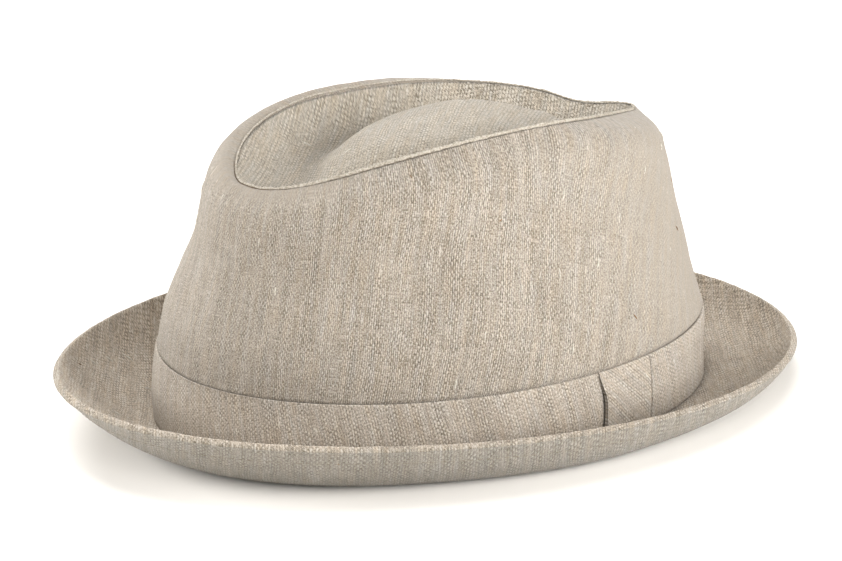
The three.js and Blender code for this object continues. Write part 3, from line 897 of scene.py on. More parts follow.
BRIM_SIZES = {
    "Columns": 480,
    "Rows": 40,
    "Fold rows": 10,
    "Thickness": BRIM_THICKNESS * MM,
    "Fold": 0.9 * MM,
}
brim_angles = np.arange(BRIM_SIZES["Columns"]) / BRIM_SIZES["Columns"] * 2 * math.pi
foot = np.stack([*on_oval(brim_angles, HEAD_OVAL), 0 * brim_angles], axis=-1)
edge = np.stack([*on_oval(brim_angles, BRIM_OVAL), 0 * brim_angles], axis=-1)
brim_lines = {
    "foot": foot * MM,
    "edge": edge * MM,
    "inner": inner_wall(brim_angles, np.zeros(1)) * [MM, MM, 0],
    "flat": blend(brim_angles, *FLAT_RING.values()) / np.linalg.norm(edge - foot, axis=1),
    "height": (edge_height(edge[:, 0]) - BRIM_THICKNESS / 2) * MM,
    "like_back": blend(brim_angles, 1.0, 0.0, 0.0),
    "like_side": blend(brim_angles, 0.0, 1.0, 0.0),
    "like_front": blend(brim_angles, 0.0, 0.0, 1.0),
}
brim_guide = bpy.data.meshes.new("brim_lines")
brim_guide.from_pydata(brim_lines["foot"].tolist(), [], [])
for line, values in brim_lines.items():
    keep(brim_guide, line, values)
print("brim", np.ptp(edge[:, :2], axis=0).round(), "mm")

# %% [markdown]
# The tree works in two steps. First it lays the under side out as a grid: a point's number tells its
# column and row, the column picks the two ovals' points, and the row says how far out it lies. The
# grid overlaps itself by one column at each end, so that its normals are right at the joint too.

# %% The brim's under side, lofted
tree, given = new_tree("brim_between_two_ovals", BRIM_SIZES)
number = add(tree, "GeometryNodeInputIndex")
sheet_rows = add(tree, MATH, [given["Rows"], 1.0], operation="ADD")
sheet_columns = add(tree, MATH, [given["Columns"], 3.0], operation="ADD")
sheet = add(tree, "GeometryNodeMeshGrid", {"Vertices X": sheet_columns, "Vertices Y": sheet_rows})
column = add(tree, MATH, [number, sheet_rows], operation="DIVIDE")
column = add(tree, MATH, [column], operation="FLOOR")
row = add(tree, MATH, [number, sheet_rows], operation="FLOORED_MODULO")
out = add(tree, MATH, [row, given["Rows"]], operation="DIVIDE")
before = add(tree, MATH, [column, 1.0], operation="SUBTRACT")
wrapped = add(tree, MATH, [before, given["Columns"]], operation="FLOORED_MODULO")
lines = {}
for line, values in brim_lines.items():
    kind = "FLOAT_VECTOR" if values.ndim == 2 else "FLOAT"
    stored = add(tree, "GeometryNodeInputNamedAttribute", {"Name": line}, data_type=kind)
    at_column = {"Geometry": given["Guide"], "Value": stored, "Index": wrapped}
    lines[line] = add(tree, "GeometryNodeSampleIndex", at_column, data_type=kind)
rest = add(tree, MATH, [1.0, lines["flat"]], operation="SUBTRACT")
reach = add(tree, MATH, [out, rest, lines["flat"]], operation="MULTIPLY_ADD")
away = add(tree, VECTOR, [lines["edge"], lines["foot"]], operation="SUBTRACT")
spread = add(tree, VECTOR, {0: away, "Scale": reach}, operation="SCALE")
plan = add(tree, VECTOR, [lines["foot"], spread], operation="ADD")
curl = 0.0
for end in ("back", "side", "front"):
    shape = tree.nodes.new("ShaderNodeFloatCurve")
    points = shape.mapping.curves[0].points
    for at, value in zip(BRIM_CURL["out"][1:-1], BRIM_CURL[end][1:-1]):
        points.new(at, value)
    shape.mapping.update()
    tree.links.new(out, shape.inputs["Value"])
    curl = add(tree, MATH, [shape.outputs[0], lines["like_" + end], curl], operation="MULTIPLY_ADD")
lift = add(tree, MATH, [curl, lines["height"]], operation="MULTIPLY")
raised = add(tree, "ShaderNodeCombineXYZ", {"Z": lift})
place = add(tree, VECTOR, [plan, raised], operation="ADD")
under_sheet = add(tree, "GeometryNodeSetPosition", {"Geometry": sheet, "Position": place})
print("nodes that loft the under side:", len(tree.nodes))

# %% [markdown]
# A second grid runs round the whole section of the doubled cloth: along the under side for so many
# rows, round the fold at the edge, and back along the upper side. Each of its points takes its place
# from the first sheet and stands off it along the normal, so the cloth has the same thickness all
# over. Round the fold it bulges outwards by a sine.

# %% The brim's section, laid round the sheet
fold_end = add(tree, MATH, [given["Rows"], given["Fold rows"]], operation="ADD")
upper_end = add(tree, MATH, [fold_end, given["Rows"]], operation="ADD")
section_count = add(tree, MATH, [upper_end, 3.0], operation="ADD")
section_rows = add(tree, MATH, [section_count, 1.0], operation="ADD")
shell_columns = add(tree, MATH, [given["Columns"], 1.0], operation="ADD")
shell = add(tree, "GeometryNodeMeshGrid", {"Vertices X": shell_columns, "Vertices Y": section_rows})
column = add(tree, MATH, [number, section_rows], operation="DIVIDE")
column = add(tree, MATH, [column], operation="FLOOR")
step = add(tree, MATH, [number, section_rows], operation="FLOORED_MODULO")
step = add(tree, MATH, [step, section_count], operation="FLOORED_MODULO")
back = add(tree, MATH, [upper_end, step], operation="SUBTRACT")
row = add(tree, MATH, [step, back], operation="MINIMUM")
row = add(tree, MATH, [row, given["Rows"]], operation="MINIMUM")
row = add(tree, MATH, [row, 0.0], operation="MAXIMUM")
past = add(tree, MATH, [step, given["Rows"]], operation="SUBTRACT")
turned = add(tree, MATH, [past, given["Fold rows"]], operation="DIVIDE", use_clamp=True)
turn = add(tree, MATH, [turned, math.pi], operation="MULTIPLY")
shifted = add(tree, MATH, [column, 1.0], operation="ADD")
source = add(tree, MATH, [shifted, sheet_rows, row], operation="MULTIPLY_ADD")
on_sheet = {"Geometry": under_sheet, "Value": add(tree, "GeometryNodeInputPosition"), "Index": source}
sheet_place = add(tree, "GeometryNodeSampleIndex", on_sheet, data_type="FLOAT_VECTOR")
on_sheet = {"Geometry": under_sheet, "Value": add(tree, "GeometryNodeInputNormal"), "Index": source}
facing = add(tree, "GeometryNodeSampleIndex", on_sheet, data_type="FLOAT_VECTOR")
upward = add(tree, VECTOR, [facing, (0, 0, 1)], out=1, operation="DOT_PRODUCT")
upward = add(tree, MATH, [upward], operation="SIGN")
across = add(tree, MATH, [turn], operation="COSINE")
across = add(tree, MATH, [across, -0.5, 0.5], operation="MULTIPLY_ADD")
across = add(tree, MATH, [across, given["Thickness"]], operation="MULTIPLY")
across = add(tree, MATH, [across, upward], operation="MULTIPLY")
stand = add(tree, VECTOR, {0: facing, "Scale": across}, operation="SCALE")
picked = {}
ring_column = add(tree, MATH, [column, given["Columns"]], operation="FLOORED_MODULO")
for line in ("foot", "edge", "inner"):
    stored = add(tree, "GeometryNodeInputNamedAttribute", {"Name": line}, data_type="FLOAT_VECTOR")
    at_column = {"Geometry": given["Guide"], "Value": stored, "Index": ring_column}
    picked[line] = add(tree, "GeometryNodeSampleIndex", at_column, data_type="FLOAT_VECTOR")
outward_way = add(tree, VECTOR, [picked["edge"], picked["foot"]], operation="SUBTRACT")
outward_way = add(tree, VECTOR, [outward_way], operation="NORMALIZE")
bulge = add(tree, MATH, [turn], operation="SINE")
bulge = add(tree, MATH, [bulge, given["Fold"]], operation="MULTIPLY")
bulge = add(tree, VECTOR, {0: outward_way, "Scale": bulge}, operation="SCALE")
cloth_place = add(tree, VECTOR, [sheet_place, stand], operation="ADD")
cloth_place = add(tree, VECTOR, [cloth_place, bulge], operation="ADD")
print("nodes with the section:", len(tree.nodes))

# %% [markdown]
# The edge of a worn brim waves a little up and down, and its yarns fray, most at the fold. Noise in
# two sizes lifts the cloth there, growing from a third of the way out. At the inside the last two
# points of the section go under the wall, to its inner face, where the brim is sewn in. The under
# side lies pressed on tables, so it is a little calm, and in the brim's linen that calm also paints
# shade on it, darker and cooler.

# %% The brim's uneven edge and its joint with the wall
WAVES_PER_M = 120.0
FRAYS_PER_M = 560.0
FRAY_SHARE = 0.6
EDGE_UNEVENNESS = 0.6
UNEVEN_GROWTH = 1.6
UNDER_CALM_AND_SHADE = 0.24
uneven = add(tree, "ShaderNodeTexNoise", {"Vector": cloth_place, "Scale": WAVES_PER_M, "Detail": 2})
uneven = add(tree, MATH, [uneven, 0.5], operation="SUBTRACT")
fray = add(tree, "ShaderNodeTexNoise", {"Vector": cloth_place, "Scale": FRAYS_PER_M, "Detail": 1})
fray = add(tree, MATH, [fray, 0.5], operation="SUBTRACT")
uneven = add(tree, MATH, [fray, FRAY_SHARE, uneven], operation="MULTIPLY_ADD")
share = add(tree, MATH, [row, given["Rows"]], operation="DIVIDE")
share = [share, UNEVEN_GROWTH, 1 - UNEVEN_GROWTH]
share = add(tree, MATH, share, operation="MULTIPLY_ADD", use_clamp=True)
uneven = add(tree, MATH, [uneven, share], operation="MULTIPLY")
uneven = add(tree, MATH, [uneven, EDGE_UNEVENNESS * MM], operation="MULTIPLY")
uneven = add(tree, "ShaderNodeCombineXYZ", {"Z": uneven})
cloth_place = add(tree, VECTOR, [cloth_place, uneven], operation="ADD")

inside = add(tree, MATH, [step, upper_end], operation="GREATER_THAN")
last = add(tree, MATH, [section_count, 1.0], operation="SUBTRACT")
inner_height = add(tree, MATH, [last, step], operation="SUBTRACT")
inner_height = add(tree, MATH, [inner_height, given["Thickness"]], operation="MULTIPLY")
inner_height = add(tree, "ShaderNodeCombineXYZ", {"Z": inner_height})
inner_place = add(tree, VECTOR, [picked["inner"], inner_height], operation="ADD")
place = {"Factor": inside, 4: cloth_place, 5: inner_place}
place = add(tree, "ShaderNodeMix", place, out=1, data_type="VECTOR")
# The under side's calm weakens its weave and, in the brim's linen, paints shade on it.
calm = add(tree, MATH, [turned, -UNDER_CALM_AND_SHADE, UNDER_CALM_AND_SHADE], operation="MULTIPLY_ADD")
shell = {"Geometry": shell, "Name": "calm", "Value": calm}
shell = add(tree, "GeometryNodeStoreNamedAttribute", shell, data_type="FLOAT", domain="POINT")
shell = add(tree, "GeometryNodeSetPosition", {"Geometry": shell, "Position": place})
shell = add(tree, "GeometryNodeMergeByDistance", {"Geometry": shell, "Distance": 0.01 * MM})
flat_place = {0: add(tree, "GeometryNodeInputPosition"), "Scale": 1 / MM}
flat_place = add(tree, VECTOR, flat_place, operation="SCALE")
shell = {"Geometry": shell, "Name": "cloth_mm", "Value": flat_place}
shell = add(tree, "GeometryNodeStoreNamedAttribute", shell, data_type="FLOAT2", domain="CORNER")
end_tree(tree, given, shell)
brim = grow("brim_linen", brim_guide, tree, brim_linen, BRIM_SIZES)

# %% [markdown]
# ## The hatband
# The band is a folded strip of the same linen round the foot of the crown. Its one end stops
# short of a tab, which is sewn to the other end, and a slit gapes between the two.

# %% Sizes of the hatband and its surface
BAND_HEIGHT = 22.7
BAND_END_RISE = 0.5
BAND_THICKNESS = 1.0
BAND_OFF = 0.12
BAND_FOOT = BRIM_THICKNESS + 0.1
BAND_SEAM_ANGLE = -77.5
SEAM_WIDTH = 0.25
SLIT = {
    "band_end": -91.6, "band_lean": 0.4, "tab_end": -91.15, "tab_lean": 0.6,
    "lean_from": 0.6, "flare": 1.2, "flare_length": 7,
}
BAND_ROWS = 26
FOLD_STEPS = 5
FOLD_ROUNDING = 0.018
BAND_RADIUS = 93
BAND_WAVE = {"length": 7, "height": 0.1, "seed": 9.4}
BAND_STOPS, TAB_STOPS = 420, 40


def band_point(angle, share, off):
    top = WALL_FOOT + BAND_HEIGHT + BAND_END_RISE * np.cos(angle) ** 2
    rise = mix(BAND_FOOT, top, share) / rim_height(angle)
    level = outward(wall_point, angle, rise) * [1, 1, 0]
    return wall_point(angle, rise) + unit(level) * np.asarray(off)[..., None]


def lean(share):
    return ease((share - SLIT["lean_from"]) / (1 - SLIT["lean_from"]))


print("the band stands", GAP + BAND_THICKNESS, "mm off the wall and is", BAND_HEIGHT, "mm high")

# %% [markdown]
# Both strips are the same folded cloth. They differ in where they start and end, which may lean with
# the height, in how many stops they have and in how far they flare from the wall.

# %% A folded strip with closed ends
def band_strip(name, start, end, stops, flare):
    """A folded strip: its section runs up the outer face, over the top fold and down the inner."""
    rows = np.linspace(0, 1, BAND_ROWS)
    turns = np.linspace(0, math.pi, FOLD_STEPS + 2)[1:-1]
    shares = np.concatenate([rows, 1 + FOLD_ROUNDING * np.sin(turns), rows[::-1]])
    faces = np.concatenate([np.ones(BAND_ROWS), 0.5 + 0.5 * np.cos(turns), np.zeros(BAND_ROWS)])
    stop = np.linspace(0, 1, stops)[:, None]
    degrees = mix(start(shares), end(shares), stop)
    off = BAND_OFF + flare(degrees, shares) + (GAP + BAND_THICKNESS - BAND_OFF) * faces
    points = band_point(np.radians(degrees), np.broadcast_to(shares, degrees.shape), off)
    waves = lumps(points, BAND_WAVE["length"], BAND_WAVE["seed"]) * BAND_WAVE["height"] * (faces > 0.5)
    points = points + unit(points * [1, 1, 0]) * waves[..., None]
    run = np.radians(degrees) * BAND_RADIUS
    flat = np.stack(np.broadcast_arrays(run, BAND_HEIGHT * shares), axis=-1)
    flat = np.concatenate([flat, flat[:, :1]], axis=1)
    points, flat = points.transpose(1, 0, 2), flat.transpose(1, 0, 2)
    piece = cloth_mesh(name, points, flat, wrap_columns=False, wrap_rows=True)
    close_ends(piece, len(shares), stops)
    return piece


def close_ends(piece, section_count, stops):
    """Fills the two ends of a strip with a row of faces between its outer and inner face."""
    mesh = piece.data
    points = [v.co[:] for v in mesh.vertices]
    uvs = {loop.vertex_index: tuple(mesh.uv_layers[0].data[loop.index].uv) for loop in mesh.loops}
    faces = [tuple(face.vertices) for face in mesh.polygons]
    corner_uv = [uv.uv[:] for uv in mesh.uv_layers[0].data]
    half = section_count // 2
    for stop, turned in ((0, True), (stops - 1, False)):
        for k in range(half):
            a, b = k, k + 1
            c, d = section_count - 2 - k, section_count - 1 - k
            ring = [a, b, c, d] if b < c else [a, b, d]
            ring = [r * stops + stop for r in (ring[::-1] if turned else ring)]
            faces.append(tuple(ring))
            corner_uv.extend(uvs[r] for r in ring)
    closed = bpy.data.meshes.new(piece.name)
    closed.from_pydata(points, [], faces)
    uv = closed.uv_layers.new(name="cloth_mm")
    uv.data.foreach_set("uv", np.array(corner_uv, np.float32).ravel())
    closed.polygons.foreach_set("use_smooth", np.ones(len(faces), bool))
    closed.update()
    piece.data = closed


# %% Hatband and tab
hat_band = band_strip(
    "hat_band_linen",
    lambda share: np.full_like(share, BAND_SEAM_ANGLE + SEAM_WIDTH * 0.3),
    lambda share: 360 + SLIT["band_end"] - SLIT["band_lean"] * lean(share),
    BAND_STOPS,
    lambda degrees, share: 0 * degrees,
)
band_tab = band_strip(
    "band_tab_linen",
    lambda share: SLIT["tab_end"] - SLIT["tab_lean"] * lean(share),
    lambda share: np.full_like(share, BAND_SEAM_ANGLE),
    TAB_STOPS,
    lambda degrees, share: (
        SLIT["flare"] * ease((SLIT["tab_end"] + SLIT["flare_length"] - degrees) / SLIT["flare_length"])
        * (1 - lean(share))
    ),
)
for strip in (hat_band, band_tab):
    print(strip.name, [round(side / MM, 1) for side in strip.dimensions], "mm")

# %% [markdown]
# ## Piping and threads along the seams
# Rolled edges and sewn threads are the same shape in two sizes: a round cord along a line. A tree
# sweeps a circle along the line and lets noise swell and sway it, because nothing that is sewn from
# linen is quite even. Each point of the line also says how thick the cord is there, so a cord can
# fade out where it sinks into the cloth.

# %% The tree for piping and threads
CORD_SIZES = {
    "Step": 0.9 * MM,
    "Radius": 0.5 * MM,
    "Uneven": 1.0,
    "Lump length": 2.4 * MM,
    "Sway": 0.25 * MM,
    "Sides": 8,
}
tree, given = new_tree("cord_along_a_seam", CORD_SIZES)
line = add(tree, "GeometryNodeMeshToCurve", [given["Guide"]])
line = add(tree, "GeometryNodeResampleCurve", {"Curve": line, "Length": given["Step"]}, mode="LENGTH")
fineness = add(tree, MATH, [1.0, given["Lump length"]], operation="DIVIDE")
place = add(tree, "GeometryNodeInputPosition")
sway = add(tree, "ShaderNodeTexNoise", {"Vector": place, "Scale": fineness, "Detail": 1}, out="Color")
sway = add(tree, VECTOR, [sway, (0.5, 0.5, 0.5)], operation="SUBTRACT")
sway = add(tree, VECTOR, {0: sway, "Scale": given["Sway"]}, operation="SCALE")
line = add(tree, "GeometryNodeSetPosition", {"Geometry": line, "Offset": sway})
swell = add(tree, "ShaderNodeTexNoise", {"Vector": place, "Scale": fineness, "Detail": 2})
swell = add(tree, MATH, [swell, 0.5], operation="SUBTRACT")
swell = add(tree, MATH, [swell, given["Uneven"], 1.0], operation="MULTIPLY_ADD")
thick = add(tree, "GeometryNodeInputNamedAttribute", {"Name": "thick"}, data_type="FLOAT")
swell = add(tree, MATH, [swell, thick], operation="MULTIPLY")
circle = {"Resolution": given["Sides"], "Radius": given["Radius"]}
circle = add(tree, "GeometryNodeCurvePrimitiveCircle", circle)
cord = {"Curve": line, "Profile Curve": circle, "Scale": swell, "Fill Caps": True}
cord = add(tree, "GeometryNodeCurveToMesh", cord)
end_tree(tree, given, cord)
cord_tree = tree
print("nodes that sweep a cord:", len(tree.nodes))

# %% [markdown]
# The tip's edge stands up round the rim as a narrow rolled lip, plain on the near side and almost
# flat at the back and on the far side. Towards the back a brown thread shows in the seam beside it,
# and its dark brown also paints the seam's shade there, so it is part thread and part painted shade.
# The table says for some angles how far in and how high each lies and what share of its full
# thickness it has; a curve through them gives the angles between. The same brown thread closes the
# upright joint between the hatband and its tab.

# %% Rim piping, rim thread and joint thread
RIM_TRIM = {
    "angle": [0, 60, 95, 112, 128, 145, 165, 190, 215, 240, 275, 320, 345, 360],
    "lip_inset": [0.5, 0.0, -0.1, -0.1, 0.0, 0.3, 0.6, 0.75, 0.95, 0.95, 0.9, 0.75, 0.6, 0.5],
    "lip_height": [0.0, 0.12, 0.15, 0.15, 0.15, 0.12, 0.12, 0.25, 0.4, 0.45, 0.4, 0.25, 0.1, 0.0],
    "lip_share": [0.6, 0.5, 0.55, 0.55, 0.6, 0.66, 0.85, 1.05, 1.15, 1.15, 1.1, 0.95, 0.8, 0.7],
    "thread_and_shade_share": [0.0, 0.0, 0.0, 0.3, 0.9, 1.4, 1.5, 0.9, 0.35, 0.45, 0.15, 0.0, 0.0, 0.0],
}
THREAD_PLACE = {"inset": 0.02, "height": 0.06}
rim_degrees = np.arange(360.0)
rim_angles = np.radians(rim_degrees)
rim_line = np.stack([*on_oval(rim_angles, RIM_OVAL), seam_height(rim_angles)], axis=-1)
along_rim = np.roll(rim_line, -1, axis=0) - np.roll(rim_line, 1, axis=0)
inward_rim = unit(np.stack([-along_rim[:, 1], along_rim[:, 0], 0 * rim_angles], axis=-1))
UP = np.array([0, 0, 1.0])
trim = {}
for name in ("lip_inset", "lip_height", "lip_share", "thread_and_shade_share"):
    trim[name] = curve(RIM_TRIM, "angle", name, rim_degrees)[:, None]

lip_line = rim_line + inward_rim * trim["lip_inset"] + UP * trim["lip_height"]
lip_guide = guide_line("rim_lip_line", lip_line, True, trim["lip_share"][:, 0], UP)
rim_lip = grow("rim_lip", lip_guide, cord_tree, piping_linen, {
    "Radius": 0.6 * MM, "Uneven": 2.0, "Sway": 0.5 * MM, "Lump length": 1.7 * MM, "Step": 0.5 * MM})

# The rim thread is a real thread, and its dark brown also paints the shade in the rim seam.
seam_line = rim_line + inward_rim * THREAD_PLACE["inset"] + UP * THREAD_PLACE["height"]
seam_guide = guide_line("rim_seam_line", seam_line, True, trim["thread_and_shade_share"][:, 0], UP)
rim_thread_and_seam_shade = grow("rim_seam_thread_and_shade", seam_guide, cord_tree, seam_thread, {
    "Radius": 0.13 * MM, "Uneven": 2.6, "Step": 0.5 * MM, "Sway": 0.25 * MM, "Lump length": 1.5 * MM,
    "Sides": 6})

JOINT = {"from": 0.02, "to": 0.985, "stops": 30, "sunk": 0.15}
joint_shares = np.linspace(JOINT["from"], JOINT["to"], JOINT["stops"])
joint_angles = np.full(JOINT["stops"], math.radians(BAND_SEAM_ANGLE + SEAM_WIDTH / 2))
joint_off = np.full(JOINT["stops"], GAP + BAND_THICKNESS - JOINT["sunk"])
joint_line = band_point(joint_angles, joint_shares, joint_off)
joint_guide = guide_line("joint_line", joint_line, False, 1.0, UP)
joint_thread = grow("band_joint_thread", joint_guide, cord_tree, seam_thread, {
    "Radius": 0.12 * MM, "Uneven": 2.6, "Step": 0.6 * MM, "Sway": 0.25 * MM, "Lump length": 1.6 * MM,
    "Sides": 6})
rim_length = np.linalg.norm(along_rim, axis=1).sum() / 2
print(f"the rim seam is {rim_length:.0f} mm long")

# %% [markdown]
# The turned hem of the brim is held by a row of small stitches a few millimetres below its edge.
# Stitches repeat, so a tree sets one small spindle after another along the line, lays each along
# the line and on the cloth, and varies its length a little.

# %% The tree for stitches
STITCH_STRETCH = (0.8, 1.1)
STITCH_SIZES = {
    "Pitch": 3.1 * MM,
    "Length": 2.5 * MM,
    "Width": 0.3 * MM,
    "Height": 0.2 * MM,
    "Seed": 4,
}
tree, given = new_tree("stitches_along_a_seam", STITCH_SIZES)
line = add(tree, "GeometryNodeMeshToCurve", [given["Guide"]])
line = add(tree, "GeometryNodeResampleCurve", {"Curve": line, "Length": given["Pitch"]}, mode="LENGTH")
up = add(tree, "GeometryNodeInputNamedAttribute", {"Name": "up"}, data_type="FLOAT_VECTOR")
lay = [add(tree, "GeometryNodeInputTangent"), up]
lay = add(tree, "FunctionNodeAxesToRotation", lay, primary_axis="X", secondary_axis="Z")
stretch = {2: STITCH_STRETCH[0], 3: STITCH_STRETCH[1], "Seed": given["Seed"]}
stretch = add(tree, "FunctionNodeRandomValue", stretch, out=1, data_type="FLOAT")
stretch = add(tree, MATH, [stretch, given["Length"]], operation="MULTIPLY")
size = add(tree, "ShaderNodeCombineXYZ", [stretch, given["Width"], given["Height"]])
spindle = add(tree, "GeometryNodeMeshUVSphere", {"Segments": 8, "Rings": 5, "Radius": 0.5})
row = {"Points": line, "Instance": spindle, "Rotation": lay, "Scale": size}
row = add(tree, "GeometryNodeInstanceOnPoints", row)
end_tree(tree, given, row)
print("nodes that lay stitches:", len(tree.nodes))

# %% [markdown]
# The stitches lie on the brim's under side, of which Geometry Nodes keep the points to themselves.
# The rule that shapes it is short, though, so it is worked out once more here. The fibres further
# down need it too.

# %% The brim's hem
HEM_OUT = 0.84
HEM_OFF = 0.03


def brim_under(angle, out):
    """The rule of the brim's under side once more, for the lines and fibres that lie on it."""
    angle, out = np.broadcast_arrays(angle, out)
    (foot_x, foot_y), (edge_x, edge_y) = on_oval(angle, HEAD_OVAL), on_oval(angle, BRIM_OVAL)
    flat = blend(angle, *FLAT_RING.values())
    reach = mix(flat / np.hypot(edge_x - foot_x, edge_y - foot_y), 1, out)
    lift = section(BRIM_CURL, "out", out, angle) * (edge_height(edge_x) - BRIM_THICKNESS / 2)
    return np.stack([mix(foot_x, edge_x, reach), mix(foot_y, edge_y, reach), lift], axis=-1)


def brim_upper(angle, out):
    across = brim_under(angle + 0.01, out) - brim_under(angle - 0.01, out)
    further, nearer = np.minimum(out + 0.02, 1), np.maximum(out - 0.02, 0)
    away = brim_under(angle, further) - brim_under(angle, nearer)
    return brim_under(angle, out) + unit(np.cross(away, across)) * BRIM_THICKNESS


hem_line = brim_under(brim_angles, np.full(1, HEM_OUT))
hem_down = -unit(brim_upper(brim_angles, np.full(1, HEM_OUT)) - hem_line)
hem_guide = guide_line("hem_line", hem_line + hem_down * HEM_OFF, True, 1.0, hem_down)
hem_stitches = grow("brim_hem_stitches", hem_guide, tree, hem_thread, {})
hem_length = np.linalg.norm(np.diff(hem_line, axis=0), axis=1).sum()
print(f"the hem is {hem_length:.0f} mm long, {hem_length * MM / STITCH_SIZES['Pitch']:.0f} stitches")

# %% [markdown]
# ## Slubs, flecks and stray fibres
# Linen is never clean: thick places of yarn lie in the weave, bits of brown stalk are spun in, and
# short fibres stand off the cloth, which one sees best along the hat's outline. A tree scatters
# points over a sheet and lays a small tapered arch on each, along the yarn that runs there. The
# sheets to scatter on are coarse copies of the outer faces, and each of their points knows the way
# of the warp.

# %% The tree that scatters fibres
ARCH_POINTS = 7
BLUNT_END = 0.08
FIBRE_STRETCH = (0.55, 1.35)
FIBRE_SIZES = {
    "Per square metre": 800.0,
    "Length": 4.0 * MM,
    "Radius": 0.2 * MM,
    "Arch": 0.2 * MM,
    "Sink": 0.1 * MM,
    "Turn": 0.1,
    "Tilt": 0.0,
    "Sides": 6,
    "Seed": 1,
}
tree, given = new_tree("fibres_on_a_sheet", FIBRE_SIZES)
points = tree.nodes.new("GeometryNodeDistributePointsOnFaces")
for socket, value in (("Mesh", "Guide"), ("Density", "Per square metre"), ("Seed", "Seed")):
    tree.links.new(given[value], points.inputs[socket])
way = add(tree, "GeometryNodeInputNamedAttribute", {"Name": "warp_way"}, data_type="FLOAT_VECTOR")
lay = [points.outputs["Normal"], way]
lay = add(tree, "FunctionNodeAxesToRotation", lay, primary_axis="Z", secondary_axis="X")
turns = []
for size, seed in (("Tilt", 11), ("Turn", 23)):
    low = add(tree, MATH, [given[size], -1.0], operation="MULTIPLY")
    between = {2: low, 3: given[size], "Seed": seed}
    turns.append(add(tree, "FunctionNodeRandomValue", between, out=1, data_type="FLOAT"))
turned = add(tree, "ShaderNodeCombineXYZ", {"Y": turns[0], "Z": turns[1]})
turned = add(tree, "FunctionNodeEulerToRotation", [turned])
lay = add(tree, "FunctionNodeRotateRotation", [lay, turned], rotation_space="LOCAL")
straight = add(tree, "GeometryNodeCurvePrimitiveLine", {"Start": (-0.5, 0, 0), "End": (0.5, 0, 0)})
straight = {"Curve": straight, "Count": ARCH_POINTS}
straight = add(tree, "GeometryNodeResampleCurve", straight, mode="COUNT")
share = add(tree, "ShaderNodeSeparateXYZ", [add(tree, "GeometryNodeInputPosition")])
share = add(tree, MATH, [share, 2.0], operation="MULTIPLY")
square = add(tree, MATH, [share, share], operation="MULTIPLY")
arch = add(tree, MATH, [1.0, square], operation="SUBTRACT")
sunk = add(tree, MATH, [given["Sink"], -1.0], operation="MULTIPLY")
rise = add(tree, MATH, [arch, given["Arch"], sunk], operation="MULTIPLY_ADD")
run = add(tree, MATH, [share, given["Length"]], operation="MULTIPLY")
run = add(tree, MATH, [run, 0.5], operation="MULTIPLY")
bent = add(tree, "ShaderNodeCombineXYZ", {"X": run, "Z": rise})
taper = add(tree, MATH, [arch, BLUNT_END], operation="MAXIMUM")
taper = add(tree, MATH, [taper, 0.5], operation="POWER")
kept_taper = tree.nodes.new("GeometryNodeCaptureAttribute")
kept_taper.capture_items.new("FLOAT", "taper")
tree.links.new(straight, kept_taper.inputs["Geometry"])
tree.links.new(taper, kept_taper.inputs["taper"])
arched = {"Geometry": kept_taper.outputs["Geometry"], "Position": bent}
arched = add(tree, "GeometryNodeSetPosition", arched)
circle = {"Resolution": given["Sides"], "Radius": given["Radius"]}
circle = add(tree, "GeometryNodeCurvePrimitiveCircle", circle)
fibre = {
    "Curve": arched, "Profile Curve": circle, "Scale": kept_taper.outputs["taper"], "Fill Caps": True}
fibre = add(tree, "GeometryNodeCurveToMesh", fibre)
swell = {2: FIBRE_STRETCH[0], 3: FIBRE_STRETCH[1], "Seed": 37}
swell = add(tree, "FunctionNodeRandomValue", swell, out=1, data_type="FLOAT")
strewn = {"Points": points.outputs["Points"], "Instance": fibre, "Rotation": lay, "Scale": swell}
strewn = add(tree, "GeometryNodeInstanceOnPoints", strewn)
end_tree(tree, given, strewn)
fibre_tree = tree
print("nodes that scatter fibres:", len(tree.nodes))

# %% [markdown]
# A coarse sheet takes every few rows and columns of a piece's outer face. The way of the warp at
# a point follows from how the flat place changes along the rows and the columns there.

# %% Sheets to scatter on
def warp_way(points, flat, turn):
    """The direction in space of the yarns that lie at a given angle in the flat cut."""
    along_rows, along_columns = np.gradient(points, axis=0), np.gradient(points, axis=1)
    flat_rows, flat_columns = np.gradient(flat, axis=0), np.gradient(flat, axis=1)
    wanted = np.array([math.sin(math.radians(turn)), math.cos(math.radians(turn))])
    size = flat_rows[..., 0] * flat_columns[..., 1] - flat_rows[..., 1] * flat_columns[..., 0]
    size = np.where(np.abs(size) < 1e-9, 1e-9, size)
    a = (wanted[0] * flat_columns[..., 1] - wanted[1] * flat_columns[..., 0]) / size
    b = (flat_rows[..., 0] * wanted[1] - flat_rows[..., 1] * wanted[0]) / size
    return unit(along_rows * a[..., None] + along_columns * b[..., None])


def guide_sheets(sheets):
    """One guide from sheets that each have points, flat places, the warp's angle and a side."""
    places, faces, ways, start = [], [], [], 0
    for points, flat, turn, turned_over in sheets:
        rows, columns = points.shape[:2]
        grid = np.arange(rows * columns).reshape(rows, columns)
        quad = [corner.ravel() for corner in (grid[:-1, :-1], grid[:-1, 1:], grid[1:, 1:], grid[1:, :-1])]
        faces.append(start + np.stack(quad[::-1] if turned_over else quad, axis=1))
        places.append(points.reshape(-1, 3))
        ways.append(warp_way(points, flat, turn).reshape(-1, 3))
        start += rows * columns
    mesh = bpy.data.meshes.new("sheets")
    mesh.from_pydata((np.concatenate(places) * MM).tolist(), [], np.concatenate(faces).tolist())
    keep(mesh, "warp_way", np.concatenate(ways))
    return mesh

# %% [markdown]
# The sheets keep clear of the hatband, which stays clean as on the real hat: the wall's starts just
# above it, and the brim's begins and ends a little inside its cloth, upper side and under side.
# Slubs are swollen yarn, pale and half sunk into the weave, and lie nearly along the warp.
# Flecks of stalk are short and brown and lie any way they like. Loose ends are hair thin, and drawn
# about three times as thick as a single fibre so that they show along the outline.

